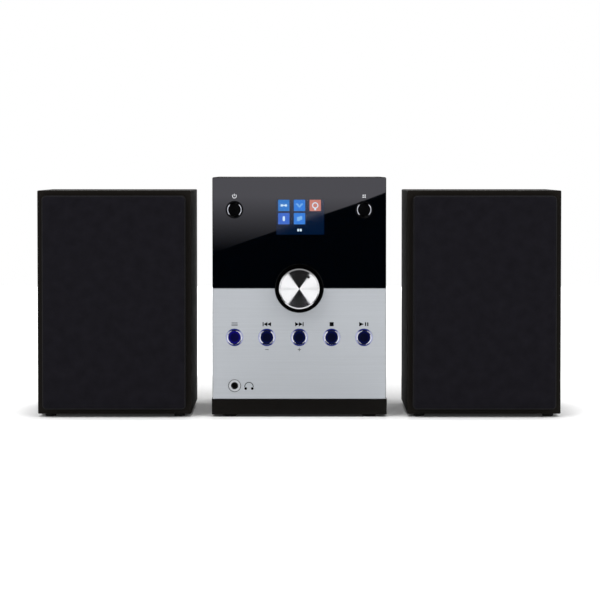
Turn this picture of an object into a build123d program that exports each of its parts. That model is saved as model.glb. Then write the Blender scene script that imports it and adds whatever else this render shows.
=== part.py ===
from build123d import *
import os
from math import cos, radians, sin, sqrt

# A mini hifi set: an upright centre unit that plays discs from a well under its lid, and two
# loudspeakers beside it. Millimetres, +Z up, the fronts face -Y, X runs along the shelf.
# The origin is on the shelf, at the middle of the whole set.

# Overall sizes
unit_width = 145.0
unit_height = 200.0
unit_depth = 190.0
speaker_width = 128.0
speaker_height = 189.0
speaker_depth = 150.0
speaker_gap = 17.8
knob_proud = 14.0
lever_proud = 5.0

# Clearances that fits are made with
seat_gap = 0.1
lid_gap = 0.5
lid_rest_gap = 0.3
shaft_gap = 0.05
press_gap = 0.02
button_gap = 0.2
stuck_gap = 0.05

# How far a cutter runs past the faces it cuts, how deep joined solids reach into each other, and
# how far a full round stays short of half its width
overcut = 1.0
overlap = 0.5
round_slack = 0.05

# Case of the centre unit
unit_foot_height = 2.0
unit_foot_radius = 6.0
unit_foot_inset = 14.0
foot_edge = 0.6
cover_sheet = 0.8
cover_ground_gap = 0.2
side_vent_rows = 7
side_vent_drop = 80.0
side_vent_pitch = 7.0
side_vent_length = 22.0
side_vent_width = 2.4
side_vent_setbacks = (62.0, 34.0)
cover_bend = 1.2
chassis_sheet = 1.0
chassis_wall_height = 50.0
chassis_flange_height = 6.0
standoff_height = 6.0
standoff_radius = 3.0
standoff_front_setback = 12.0
standoff_rear_setback = 14.0
floor_slot_rows = 6
floor_slot_setback = 38.0
floor_slot_pitch = 16.0
floor_slot_length = 30.0
floor_slot_width = 3.0
floor_slot_x = 29.0
frame_depth = 22.0
frame_wall = 2.5
frame_plate = 2.0
plinth_height = 12.9
plinth_overhang = 0.6
panel_thickness = 3.0
panel_inset = 0.3
panel_seam = 0.15
panel_edge = 0.3
rear_sheet = 1.0
rear_vent_rows = 6
rear_vent_drop = 66.0
rear_vent_pitch = 8.0
rear_vent_length = 28.0
rear_vent_width = 3.0
rear_vent_places = (-36.0, 0.0, 36.0)

# Controls
knob_height = 107.5
knob_radius = 16.75
knob_skirt = 2.2
knob_face = 4.0
knob_rim_chamfer = 1.0
knob_floor_gap = 0.6
knob_mark_radius = 1.4
knob_mark_reach = 12.4
knob_mark_angle = 38.0
knob_mark_depth = 0.5
knob_boss_radius = 6.0
dish_radius = 20.3
dish_floor = 1.8
dish_floor_radius = 17.6
dish_rim = 0.5
encoder_shaft_radius = 3.0
encoder_shaft_bite = 0.8
encoder_bush_radius = 3.5
encoder_bush_proud = 2.0
encoder_body = 13.0
encoder_bore_depth = 4.5
encoder_end_gap = 0.5
button_row_height = 66.5
button_pitch = 27.0
upper_button_drop = 27.0
cap_radius = 5.1
cap_proud = 1.2
cap_flange = 1.2
cap_flange_thickness = 1.0
cap_dish = 0.35
cap_dish_shoulder = 0.15
cap_rim = 0.7
cap_rim_slope = 0.5
cap_edge = 0.3
collar_radius = 6.2
collar_proud = 0.9
collar_inner_slope = (0.3, 0.4)
collar_flat = 0.2
collar_outer_drop = 0.6
light_ring_radius = 7.25
light_ring_proud = 0.3
light_ring_slope = 0.4
button_travel = 0.8
stem_radius = 1.4
stem_gap = 0.3
stem_reach = 1.0
switch_side = 6.2
switch_thickness = 3.2
board_thickness = 1.6
switch_slack = 1.3
front_board_margin = 6.5
front_board_foot = 13.0
front_board_head = 9.75
front_chip = (10.0, 1.8, 7.0)
front_chip_places = ((24.0, 136.0), (-30.0, 132.0), (30.0, 92.0), (-28.0, 44.0), (26.0, 40.0))
post_radius = 3.0
post_side = 63.0
post_low = 42.0
post_middle = 125.0
post_drop = 14.0

# Display and headphone jack
display_drop = 33.3
display_width = 48.4
display_tall = 38.4
display_thickness = 5.0
display_border = 2.0
display_recess = 0.4
display_leg_radius = 2.0
display_leg_inset = 6.0
jack_height = 26.0
jack_nose_radius = 5.3
jack_nose_recess = 0.8
jack_mouth_radius = 3.0
jack_mouth_depth = 1.4
jack_bore_radius = 1.8
jack_bore_depth = 13.3
jack_end_wall = 1.9
jack_barrel_radius = 4.1
jack_block = 9.4

# Lid, disc well and disc mechanism
lid_width = 130.4
lid_length = 132.6
lid_thickness = 4.0
lid_skin = 2.0
lid_rim = 2.4
lid_hinge_band = 6.0
lid_corner = 5.0
lid_notch_width = 24.0
lid_notch_depth = 3.0
lid_front_setback = 5.8
hinge_pin_radius = 1.0
hinge_pin_length = 3.4
deck_wall = 2.0
deck_edge_gap = 0.5
well_radius = 61.5
well_floor_drop = 16.0
window_inner = 17.0
window_margin = 1.1
window_half_width = 17.0
sled_slot_slack = 4.0
sled_slot_half_width = 7.5
sled_slot_headroom = 2.4
disc_lift = 3.4
hub_radius = 15.0
hub_thickness = 1.8
hub_nose_radius = 7.35
hub_nose_height = 3.8
hub_nose_edge = 1.0
hub_ball_proud = 0.3
hub_boss_radius = 4.0
hub_ball_radius = 0.9
hub_floor_gap = 0.6
spindle_radius = 1.0
spindle_motor_radius = 12.0
spindle_motor_height = 11.5
spindle_motor_boss = 3.0
spindle_motor_base = 2.0
spindle_end_gap = 0.5
spindle_boss_drop = 0.5
mechanism_drop = 4.5
mechanism_sheet = 2.0
mechanism_left = 24.0
mechanism_border = 1.0
mechanism_half_width = 24.0
mechanism_hole_radius = 6.0
mechanism_slot_inner = 5.0
mechanism_slot_outer = 0.5
damper_radius = 3.0
damper_margin = 1.0
damper_setback = 4.0
rod_radius = 1.5
rod_offset = 14.0
rod_wall = 1.5
rod_lug = 3.0
rod_end_gap = 1.2
rod_inner_gap = 5.0
sled_inner_radius = 24.0
sled_travel = 34.0
sled_length = 14.0
sled_thickness = 5.5
sled_headroom = 2.75
lens_half = 3.5
lens_radius = 2.5
lens_gap = 2.1
lens_proud = 0.4
sled_tower_gap = 1.5

# Rear of the centre unit
terminal_x = 10.0
terminal_z = 90.0
terminal_pitch = 12.0
terminal_count = 4
terminal_lip = 2.5
terminal_body_tall = 22.0
terminal_body_depth = 12.0
terminal_flange_thickness = 1.8
terminal_corner = 1.5
wire_hole_radius = 1.5
wire_hole_drop = 6.0
wire_hole_depth = 9.0
lever_width = 6.0
lever_thickness = 3.0
lever_rise = 3.0
lever_inset = 4.0
lever_travel = 20.0
lever_slot_slack = 1.1
lever_back_gap = 0.7
lever_edge = 1.0
trunnion_radius = 0.8
trunnion_length = 0.9
trunnion_end_gap = 0.2
inlet_x = -42.0
inlet_z = 32.0
inlet_flange = (28.0, 18.0, 1.6)
inlet_corner = 2.0
inlet_body = (23.0, 14.0, 14.0)
inlet_mouth = (16.0, 9.0, 11.6)
inlet_pin_radius = 1.2
inlet_pin_offset = 4.3
inlet_pin_recess = 3.0
usb_x = 16.0
usb_shell = (13.6, 6.2, 14.6)
usb_wall = 0.5
usb_back_wall = 2.0
usb_proud = 0.6
usb_tongue = (10.6, 1.8, 9.0)
usb_tongue_drop = 0.6
aux_x = 40.0
aux_block = 11.0
aux_block_depth = 12.0
aux_nose_radius = 4.0
aux_nose_proud = 1.0
aux_end_wall = 0.5
grommet_x = 58.0
grommet_z = 40.0
grommet_radius = 4.0
grommet_neck = 2.5
grommet_flange = 1.5
grommet_edge = 0.6
grommet_bore = 1.0
screw_head_radius = 3.0
screw_head_height = 1.2
screw_head_round = 0.7
screw_cross = (3.2, 0.7, 0.6)
screw_radius = 1.4
screw_length = 6.0
screw_hole_gap = 0.15
side_screw_height = 46.5
side_screw_setbacks = (50.0, 150.0)
rear_screw_x = 60.0
rear_screw_low = 5.0
rear_screw_drop = 2.8
rear_screw_room = 6.0
screw_lug = 8.0

# Boards inside. What stands on a board is placed from the board's left and front edges
board_front_setback = 30.0
board_rear_setback = 6.0
main_board_left = -8.0
main_board_right = 66.0
supply_left = -66.0
supply_right = -14.0
chip_height = 2.0
main_chips = ((14.0, 30.0, 14.0), (34.0, 54.0, 11.0), (16.0, 80.0, 9.0), (38.0, 18.0, 8.0))
main_capacitor = (4.0, 12.0)
main_capacitor_places = ((8.0, 58.0), (20.0, 104.0), (32.0, 104.0), (44.0, 104.0), (32.0, 80.0))
heat_sink = (14.0, 60.0, 32.0)
heat_sink_fins = 5
heat_sink_fin = 1.4
heat_sink_end = 2.0
heat_sink_base = 3.0
heat_sink_margin = 6.0
heat_sink_setback = 62.0
transformer = (30.0, 34.0, 28.0)
transformer_place = (24.0, 62.0)
transformer_corner = 2.0
winding_proud = 3.0
winding_setback = 7.0
winding_drop = 5.0
supply_capacitors = (
    (20.0, 100.0, 9.0, 24.0),
    (42.0, 98.0, 5.0, 14.0),
    (16.0, 22.0, 6.0, 18.0),
    (34.0, 22.0, 6.0, 18.0),
)

# Loudspeakers
speaker_foot_height = 2.5
speaker_foot_radius = 4.6
speaker_foot_inset = 10.0
cabinet_wall = 9.0
cabinet_edge = 1.0
baffle_thickness = 9.0
grille_margin = 4.3
grille_proud = 10.0
grille_bar = 7.0
grille_corner = 3.0
grille_gusset = 10.0
grille_inner_corner = 1.0
cloth_thickness = 0.5
cloth_wrap = 0.5
peg_radius = 2.5
peg_length = 7.0
peg_inset = 9.3
peg_gap = 0.1
driver_flange_radius = 50.0
driver_flange_thickness = 2.0
driver_hole_radius = 44.5
basket_mouth_radius = 43.0
basket_wall = 1.5
basket_depth = 22.0
basket_back_radius = 34.0
basket_window_width = 26.0
basket_window_rim = 4.5
basket_window_reach = 20.0
basket_windows = 4
magnet_radius = 32.0
magnet_length = 14.0
pole_radius = 11.6
gap_radius = 13.5
magnet_base = 4.0
roll_middle = 38.7
roll_radius = 2.9
roll_skin = 0.6
surround_flat_radius = 46.0
cone_clearance = 0.3
cone_skin = 0.8
cone_setback = 0.2
cone_slope = 1.2
cone_neck_radius = 13.2
cone_depth = 14.0
coil_radius = 12.7
coil_wall = 0.6
coil_length = 15.0
dust_cap_rise = 4.0
gland_height = 30.0
gland_radius = 5.0
gland_flange_radius = 7.0
gland_flange = 2.0
gland_bore = 1.8
gland_edge = 1.0
peg_end_gap = 0.5

# Places that follow from the sizes above
front = -(unit_depth + lever_proud - knob_proud) / 2
rear = front + unit_depth
floor_z = unit_foot_height
top = unit_height
half_width = unit_width / 2
display_height = top - display_drop
upper_button_height = top - upper_button_drop
post_heights = (post_low, post_middle, top - post_drop)
side_vent_base = top - side_vent_drop
rear_vent_base = top - rear_vent_drop
inside_half = half_width - cover_sheet
frame_rear = front + frame_depth
panel_back = front + panel_thickness
plate_back = panel_back + frame_plate
switch_front = plate_back + button_gap + cap_flange_thickness + button_travel + switch_slack
front_board_y = switch_front + switch_thickness
front_board_back = front_board_y + board_thickness
plinth_top = floor_z + plinth_height
panel_half = half_width - panel_inset
lid_front = frame_rear + lid_front_setback
lid_rear = lid_front + lid_length
lid_half = lid_width / 2
lid_under = top - lid_thickness
hinge_y = lid_rear - lid_thickness / 2
hinge_z = top - lid_thickness / 2
opening_front = lid_front - lid_gap
opening_rear = lid_rear + lid_gap
opening_half = lid_half + lid_gap
deck_top = top - cover_sheet
ledge_top = lid_under - lid_rest_gap
ledge_under = ledge_top - deck_wall
well_y = (opening_front + opening_rear) / 2
well_floor = top - well_floor_drop
disc_z = well_floor + disc_lift
mechanism_top = well_floor - mechanism_drop
mechanism_under = mechanism_top - mechanism_sheet
motor_under = mechanism_under - spindle_motor_height
rod_z = mechanism_under - sled_headroom - sled_thickness / 2
sled_half_width = rod_offset + rod_radius + rod_wall
rod_start = sled_inner_radius - sled_length / 2 - rod_inner_gap - rod_lug
rod_end = sled_inner_radius + sled_travel + sled_length / 2 + rod_end_gap + rod_lug
mechanism_right = rod_end + mechanism_border
sled_slot_end = sled_inner_radius + sled_travel + lens_half + sled_slot_slack
window_outer = sqrt(well_radius**2 - window_half_width**2) - window_margin
terminal_body_width = terminal_count * terminal_pitch
terminal_face = rear + terminal_flange_thickness
pivot_y = rear - lever_inset
pivot_z = terminal_z + lever_rise
lever_drop = (lever_inset + terminal_flange_thickness) * sin(radians(lever_travel))
knob_back = front + dish_floor - knob_floor_gap
encoder_bore_end = plate_back + encoder_bore_depth
encoder_shaft_nose = front - knob_proud + knob_face - encoder_shaft_bite
rear_inside = rear - rear_sheet
rear_screw_high = deck_top - rear_screw_drop
jack_x = -2 * button_pitch
screw_hole = screw_radius + screw_hole_gap
board_z = floor_z + chassis_sheet + standoff_height
board_top = board_z + board_thickness
board_front = front + board_front_setback
board_rear = rear - board_rear_setback
aux_z = board_top + aux_block / 2
speaker_centre = half_width + speaker_gap + speaker_width / 2
cabinet_bottom = speaker_foot_height
driver_height = (cabinet_bottom + speaker_height) / 2
grille_width = speaker_width - 2 * grille_margin
grille_tall = speaker_height - cabinet_bottom - 2 * grille_margin
cloth_back = front - grille_proud + cloth_thickness

# The buttons: name, x and z of each centre
buttons = {
    "power": (-2 * button_pitch, upper_button_height),
    "mode": (2 * button_pitch, upper_button_height),
    "menu": (-2 * button_pitch, button_row_height),
    "previous": (-button_pitch, button_row_height),
    "next": (0.0, button_row_height),
    "stop": (button_pitch, button_row_height),
    "play": (2 * button_pitch, button_row_height),
}


def block(x, y, z):
    """A box between the two limits given on each axis."""
    limits = (x, y, z)
    middle = [(low + high) / 2 for low, high in limits]
    return Pos(*middle) * Box(*[high - low for low, high in limits])


def around(centre, size):
    """The two limits of a length that is centred on a place."""
    return (centre - size / 2, centre + size / 2)


def rod_along_x(y, z, radius, start, end):
    """A cylinder along X."""
    return Pos((start + end) / 2, y, z) * Rot(0, 90, 0) * Cylinder(radius, end - start)


def rod_along_y(x, z, radius, start, end):
    """A cylinder along Y."""
    return Pos(x, (start + end) / 2, z) * Rot(90, 0, 0) * Cylinder(radius, end - start)


def rod_along_z(x, y, radius, start, end):
    """A cylinder along Z."""
    return Pos(x, y, (start + end) / 2) * Cylinder(radius, end - start)


def turned_on_y(profile, x, z):
    """A turned piece on an axis along Y, from its (radius, y) corners."""
    face = make_face(Polyline(*profile, close=True))
    return Pos(x, 0, z) * revolve(face, Axis.Y)


def turned_on_z(profile, x, y):
    """A turned piece on an upright axis, from its (radius, z) corners."""
    face = Plane.XZ * make_face(Polyline(*profile, close=True))
    return Pos(x, y, 0) * revolve(face, Axis.Z)


def upright_slab(x, z, width, tall, corner, start, end):
    """A plate with rounded corners, upright across X, between two places on Y."""
    plane = Plane(origin=(x, start, z), x_dir=(1, 0, 0), z_dir=(0, 1, 0))
    return extrude(plane * RectangleRounded(width, tall, corner), end - start)


def flat_slab(x, y, corner, start, end):
    """A level plate with rounded corners between limits on X and Y, and two heights."""
    middle = Pos((x[0] + x[1]) / 2, (y[0] + y[1]) / 2, start)
    outline = RectangleRounded(x[1] - x[0], y[1] - y[0], corner)
    return extrude(middle * outline, end - start)


def lid_outline(half, y, corner, start, end):
    """A level plate with the lid's outline: round corners at the front, square ones at the hinge."""
    outline = flat_slab((-half, half), y, corner, start, end)
    return outline + block((-half, half), (y[1] - 2 * corner, y[1]), (start, end))


def group(pieces):
    """Several separate solids as one node."""
    return Compound(children=[solid for piece in pieces for solid in piece.solids()])


# ---------------------------------------------------------------- the case of the centre unit


def make_base_chassis():
    """The folded steel tray: floor, two side walls, low front and rear flanges, standoffs."""
    reach = inside_half - seat_gap
    tray = block((-reach, reach), (frame_rear, rear_inside), (floor_z, floor_z + chassis_wall_height))
    wall = chassis_sheet
    inner = (frame_rear + wall, rear_inside - wall)
    tray -= block((-reach + wall, reach - wall), inner, (floor_z + wall, top))
    above_flange = (floor_z + chassis_flange_height, top)
    tray -= block((-reach + wall, reach - wall), (front, rear), above_flange)
    for x in (main_board_left, main_board_right, supply_left, supply_right):
        inward = standoff_radius if x in (main_board_left, supply_left) else -standoff_radius
        for y in (frame_rear + standoff_front_setback, rear - standoff_rear_setback):
            tray += rod_along_z(x + inward, y, standoff_radius, floor_z, board_z)
    for row in range(floor_slot_rows):
        slot_y = around(frame_rear + floor_slot_setback + floor_slot_pitch * row, floor_slot_width)
        for x in (-floor_slot_x, floor_slot_x):
            tray -= block(around(x, floor_slot_length), slot_y, (0.0, floor_z + wall))
    for y in side_screw_setbacks:
        tray -= rod_along_x(front + y, side_screw_height, screw_hole, -half_width, half_width)
    for x in (-rear_screw_x, rear_screw_x):
        tray -= rod_along_y(x, rear_screw_low, screw_hole, rear - 2 * screw_length, rear)
    return tray


def make_case_cover():
    """The steel wrap: a top and two sides, with the opening for the lid and vents at the sides."""
    legs = (floor_z + cover_ground_gap, top)
    cover = block((-half_width, half_width), (frame_rear, rear), legs)
    cover = fillet(cover.edges().filter_by(Axis.Y).group_by(Axis.Z)[-1], cover_bend)
    cover -= block((-inside_half, inside_half), (front, rear + overcut), (0.0, deck_top))
    opening = (opening_front, opening_rear)
    cover -= lid_outline(opening_half, opening, lid_corner + lid_gap, ledge_top, top + overcut)
    across = (-half_width - overcut, half_width + overcut)
    for row in range(side_vent_rows):
        z = around(side_vent_base + side_vent_pitch * row, side_vent_width)
        for setback in side_vent_setbacks:
            cover -= block(across, around(rear - setback, side_vent_length), z)
    for y in side_screw_setbacks:
        cover -= rod_along_x(front + y, side_screw_height, screw_hole, *across)
    return cover


def button_holes(radius):
    """What a layer of the front is pierced by: a hole of one radius at each button."""
    return [rod_along_y(x, z, radius, front - overcut, front_board_back) for x, z in buttons.values()]


def make_front_frame():
    """The moulded frame behind the fronts: a rim, a plate, the plinth strip and board posts."""
    outer = block((-half_width, half_width), (panel_back, frame_rear), (floor_z, top))
    outer = fillet(outer.edges().filter_by(Axis.Y), cover_bend)
    wide = half_width - frame_wall
    tall = (floor_z + frame_wall, top - frame_wall)
    frame = outer - block((-wide, wide), (plate_back, frame_rear + overcut), tall)
    plinth_half = half_width + plinth_overhang
    plinth = block((-plinth_half, plinth_half), (front, frame_rear), (floor_z, plinth_top))
    plinth = fillet(plinth.edges().filter_by(Axis.Z).group_by(Axis.Y)[0], cover_bend)
    plinth -= block((-half_width, half_width), (panel_back, frame_rear + overcut), (0.0, top))
    frame += plinth
    for x in (-post_side, post_side):
        for z in post_heights:
            frame += rod_along_y(x, z, post_radius, panel_back, front_board_y)
    for hole in button_holes(cap_radius + button_gap):
        frame -= hole
    opening = (display_width + 2 * button_gap, display_tall + 2 * button_gap)
    through = (front, plate_back + overcut)
    frame -= block(around(0.0, opening[0]), through, around(display_height, opening[1]))
    frame -= rod_along_y(0.0, knob_height, encoder_bush_radius + button_gap, *through)
    return frame - rod_along_y(jack_x, jack_height, jack_barrel_radius + seat_gap, *through)


def make_front_window():
    """The gloss acrylic front above the knob's axis."""
    z = (knob_height + panel_seam, top - panel_inset)
    window = block((-panel_half, panel_half), (front, panel_back), z)
    window = chamfer(window.faces().sort_by(Axis.Y)[0].edges(), panel_edge)
    window -= rod_along_y(0.0, knob_height, dish_radius + button_gap, front - overcut, panel_back + overcut)
    for hole in button_holes(light_ring_radius + seat_gap):
        window -= hole
    return window


def make_front_trim():
    """The brushed aluminium front below the knob's axis."""
    z = (plinth_top + panel_seam, knob_height - panel_seam)
    trim = block((-panel_half, panel_half), (front, panel_back), z)
    trim = chamfer(trim.faces().sort_by(Axis.Y)[0].edges(), panel_edge)
    through = (front - overcut, panel_back + overcut)
    trim -= rod_along_y(0.0, knob_height, dish_radius + button_gap, *through)
    for hole in button_holes(light_ring_radius + seat_gap):
        trim -= hole
    return trim - rod_along_y(jack_x, jack_height, jack_nose_radius + seat_gap, *through)


def make_rear_panel():
    """The steel back with its cut-outs, screw holes and vents."""
    half = inside_half - seat_gap
    panel = block((-half, half), (rear_inside, rear), (floor_z + cover_ground_gap, deck_top - seat_gap))
    through = (rear_inside - overcut, rear + overcut)
    wide, tall = terminal_body_width + 2 * button_gap, terminal_body_tall + 2 * button_gap
    panel -= block(around(terminal_x, wide), through, around(terminal_z, tall))
    wide, tall = inlet_body[0] + 2 * button_gap, inlet_body[1] + 2 * button_gap
    panel -= block(around(inlet_x, wide), through, around(inlet_z, tall))
    usb_z = (board_top - seat_gap, board_top + usb_shell[1] + seat_gap)
    panel -= block(around(usb_x, usb_shell[0] + 2 * seat_gap), through, usb_z)
    panel -= rod_along_y(aux_x, aux_z, aux_nose_radius + seat_gap, *through)
    panel -= rod_along_y(grommet_x, grommet_z, grommet_neck + press_gap, *through)
    for x in (-rear_screw_x, rear_screw_x):
        for z in (rear_screw_low, rear_screw_high):
            panel -= rod_along_y(x, z, screw_hole, *through)
    corner = rear_vent_width / 2 - round_slack
    for row in range(rear_vent_rows):
        z = rear_vent_base + rear_vent_pitch * row
        for x in rear_vent_places:
            panel -= upright_slab(x, z, rear_vent_length, rear_vent_width, corner, *through)
    return panel


def make_unit_feet():
    """Four rubber feet, stuck under the frame and the chassis."""
    x = half_width - unit_foot_inset
    places = [(sx * x, y) for sx in (-1, 1) for y in (front + unit_foot_inset, rear - unit_foot_inset)]
    profile = [
        (0.0, 0.0),
        (unit_foot_radius - foot_edge, 0.0),
        (unit_foot_radius, foot_edge),
        (unit_foot_radius, floor_z),
        (0.0, floor_z),
    ]
    return group([turned_on_z(profile, x, y) for x, y in places])


def make_screw():
    """A pan-head screw with a cross recess, its head's seat at the origin, pointing along -Z."""
    head = Pos(0, 0, screw_head_height / 2) * Cylinder(screw_head_radius, screw_head_height)
    head = fillet(head.edges().group_by(Axis.Z)[-1], screw_head_round)
    long, wide, deep = screw_cross
    for turn in (0, 90):
        head -= Pos(0, 0, screw_head_height) * Rot(0, 0, turn) * Box(long, wide, 2 * deep)
    return head + Pos(0, 0, -screw_length / 2) * Cylinder(screw_radius, screw_length)


def make_case_screws():
    """Two screws in each side of the cover and four in the rear panel."""
    screws = []
    for y in side_screw_setbacks:
        screws.append(Pos(half_width, front + y, side_screw_height) * Rot(0, 90, 0) * make_screw())
        screws.append(Pos(-half_width, front + y, side_screw_height) * Rot(0, -90, 0) * make_screw())
    for x in (-rear_screw_x, rear_screw_x):
        for z in (rear_screw_low, rear_screw_high):
            screws.append(Pos(x, rear, z) * Rot(-90, 0, 0) * make_screw())
    return group(screws)


# ---------------------------------------------------------------- controls, display and jack


def make_knob_ring():
    """The black dish that the volume knob stands in."""
    profile = [
        (encoder_bush_radius + button_gap, panel_back),
        (dish_radius, panel_back),
        (dish_radius, front),
        (dish_radius - dish_rim, front),
        (dish_floor_radius, front + dish_floor),
        (encoder_bush_radius + button_gap, front + dish_floor),
    ]
    return turned_on_y(profile, 0.0, knob_height)


def make_volume_knob():
    """The turned aluminium knob, hollow behind its face, with a boss for the shaft."""
    nose = front - knob_proud
    bore = encoder_shaft_radius + press_gap
    boss_end = front - encoder_bush_proud - knob_floor_gap
    face_back = nose + knob_face
    bore_end = encoder_shaft_nose - seat_gap
    profile = [
        (0.0, nose),
        (knob_radius - knob_rim_chamfer, nose),
        (knob_radius, nose + knob_rim_chamfer),
        (knob_radius, knob_back),
        (knob_radius - knob_skirt, knob_back),
        (knob_radius - knob_skirt, face_back),
        (knob_boss_radius, face_back),
        (knob_boss_radius, boss_end),
        (bore, boss_end),
        (bore, bore_end),
        (0.0, bore_end),
    ]
    knob = turned_on_y(profile, 0.0, knob_height)
    angle = radians(knob_mark_angle)
    x = knob_mark_reach * sin(angle)
    z = knob_height + knob_mark_reach * cos(angle)
    return knob - Pos(x, nose - knob_mark_radius + knob_mark_depth, z) * Sphere(knob_mark_radius)


def make_encoder_shaft():
    """The encoder's shaft, which turns with the knob."""
    end = encoder_bore_end - encoder_end_gap
    return rod_along_y(0.0, knob_height, encoder_shaft_radius, encoder_shaft_nose, end)


def make_volume_encoder():
    """The encoder's body on the front board and its bush through the plate."""
    body = block(around(0.0, encoder_body), (plate_back, front_board_y), around(knob_height, encoder_body))
    bush = (front - encoder_bush_proud, plate_back + overlap)
    body += rod_along_y(0.0, knob_height, encoder_bush_radius, *bush)
    bore = encoder_shaft_radius + shaft_gap
    return body - rod_along_y(0.0, knob_height, bore, front - encoder_bush_proud, encoder_bore_end)


def make_button(name):
    """A button: its dished cap, the flange that keeps it in, and the stem to its switch."""
    x, z = buttons[name]
    nose = front - cap_proud
    flange_front = plate_back + button_gap
    flange_back = flange_front + cap_flange_thickness
    profile = [
        (0.0, nose + cap_dish),
        (cap_radius - cap_rim - cap_rim_slope, nose + cap_dish_shoulder),
        (cap_radius - cap_rim, nose),
        (cap_radius - cap_edge, nose),
        (cap_radius, nose + cap_edge),
        (cap_radius, flange_front),
        (cap_radius + cap_flange, flange_front),
        (cap_radius + cap_flange, flange_back),
        (stem_radius, flange_back),
        (stem_radius, switch_front + stem_reach),
        (0.0, switch_front + stem_reach),
    ]
    return turned_on_y(profile, x, z)


def make_button_collars():
    """The bright rounded ring round each button."""
    inner = cap_radius + button_gap
    nose = front - collar_proud
    flat = inner + collar_inner_slope[0]
    profile = [
        (inner, panel_back),
        (inner, nose + collar_inner_slope[1]),
        (flat, nose),
        (flat + collar_flat, nose),
        (collar_radius, nose + collar_outer_drop),
        (collar_radius, panel_back),
    ]
    return group([turned_on_y(profile, x, z) for x, z in buttons.values()])


def make_button_light_rings():
    """The light guide outside each collar."""
    inner = collar_radius + stuck_gap
    profile = [
        (inner, panel_back),
        (inner, front - light_ring_proud),
        (light_ring_radius - light_ring_slope, front - light_ring_proud),
        (light_ring_radius, front),
        (light_ring_radius, panel_back),
    ]
    return group([turned_on_y(profile, x, z) for x, z in buttons.values()])


def make_front_board():
    """The upright board behind the fronts, with a push switch at each button."""
    half = half_width - front_board_margin
    z = (floor_z + front_board_foot, top - front_board_head)
    board = block((-half, half), (front_board_y, front_board_back), z)
    barrel = jack_barrel_radius + seat_gap
    board -= rod_along_y(jack_x, jack_height, barrel, front, front_board_back + overcut)
    for x, z in buttons.values():
        switch = block(around(x, switch_side), (switch_front, front_board_y), around(z, switch_side))
        hole_end = switch_front + stem_reach + button_travel + stem_gap
        board += switch - rod_along_y(x, z, stem_radius + stem_gap, switch_front - overcut, hole_end)
    wide, thick, tall = front_chip
    for x, z in front_chip_places:
        chip = (front_board_back, front_board_back + thick)
        board += block(around(x, wide), chip, around(z, tall))
    return board


def make_display_module():
    """The colour display, framed, with four legs down to the front board."""
    y = (panel_back, panel_back + display_thickness)
    module = block(around(0.0, display_width), y, around(display_height, display_tall))
    face = (panel_back - overcut, panel_back + display_recess)
    view = (display_width - 2 * display_border, display_tall - 2 * display_border)
    module -= block(around(0.0, view[0]), face, around(display_height, view[1]))
    leg_x = display_width / 2 - display_leg_inset
    leg_z = display_tall / 2 - display_leg_inset
    for x in (-leg_x, leg_x):
        for z in (display_height - leg_z, display_height + leg_z):
            module += rod_along_y(x, z, display_leg_radius, y[1] - overlap, front_board_y)
    return module


def make_headphone_jack():
    """The headphone jack: nose, barrel and block, with its stepped mouth and bore."""
    nose = front + jack_nose_recess
    bore = nose + jack_mouth_depth
    bore_end = bore + jack_bore_depth
    jack = rod_along_y(jack_x, jack_height, jack_nose_radius, nose, panel_back)
    jack += rod_along_y(jack_x, jack_height, jack_barrel_radius, nose, bore_end + jack_end_wall)
    body = (plate_back + button_gap, front_board_y)
    jack += block(around(jack_x, jack_block), body, around(jack_height, jack_block))
    mouth = [
        (0.0, nose - overcut),
        (jack_mouth_radius, nose - overcut),
        (jack_mouth_radius, nose),
        (jack_bore_radius, bore),
        (jack_bore_radius, bore_end),
        (0.0, bore_end),
    ]
    return jack - turned_on_y(mouth, jack_x, jack_height)


# ---------------------------------------------------------------- lid, well and mechanism


def make_top_deck():
    """The moulded top: flange, tub for the lid, disc well, hinge pins and screw lugs."""
    flange_half = inside_half - deck_edge_gap
    flange_y = (frame_rear + deck_edge_gap, rear_inside - 2 * seat_gap)
    deck = block((-flange_half, flange_half), flange_y, (deck_top - deck_wall, deck_top))
    tub_y = (opening_front - deck_wall, opening_rear + deck_wall)
    tub_corner = lid_corner + lid_gap + deck_wall
    deck += lid_outline(opening_half + deck_wall, tub_y, tub_corner, ledge_under, deck_top)
    deck += rod_along_z(0.0, well_y, well_radius + deck_wall, well_floor - deck_wall, ledge_top)
    opening = (opening_front, opening_rear)
    deck -= lid_outline(opening_half, opening, lid_corner + lid_gap, ledge_top, top)
    deck -= rod_along_z(0.0, well_y, well_radius, well_floor, top)
    well_under = well_floor - deck_wall - overcut
    near = (well_y - window_half_width, well_y + window_half_width)
    deck -= block((-window_inner, window_outer), near, (well_under, well_floor + overcut))
    far = (well_y - sled_slot_half_width, well_y + sled_slot_half_width)
    slot_z = (well_under, well_floor + sled_slot_headroom)
    deck -= block((window_outer - overcut, sled_slot_end), far, slot_z)
    for side in (-1, 1):
        pin_end = opening_half - hinge_pin_length - lid_gap
        ends = sorted((side * pin_end, side * (opening_half + overlap)))
        deck += rod_along_x(hinge_y, hinge_z, hinge_pin_radius, *ends)
        lug_x = around(side * rear_screw_x, screw_lug)
        lug = block(lug_x, (flange_y[1] - screw_lug, flange_y[1]), (deck_top - screw_lug, deck_top))
        deck += lug
        hole_y = (rear - rear_screw_room - overcut, rear)
        deck -= rod_along_y(side * rear_screw_x, rear_screw_high, screw_hole, *hole_y)
    return deck


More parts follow.
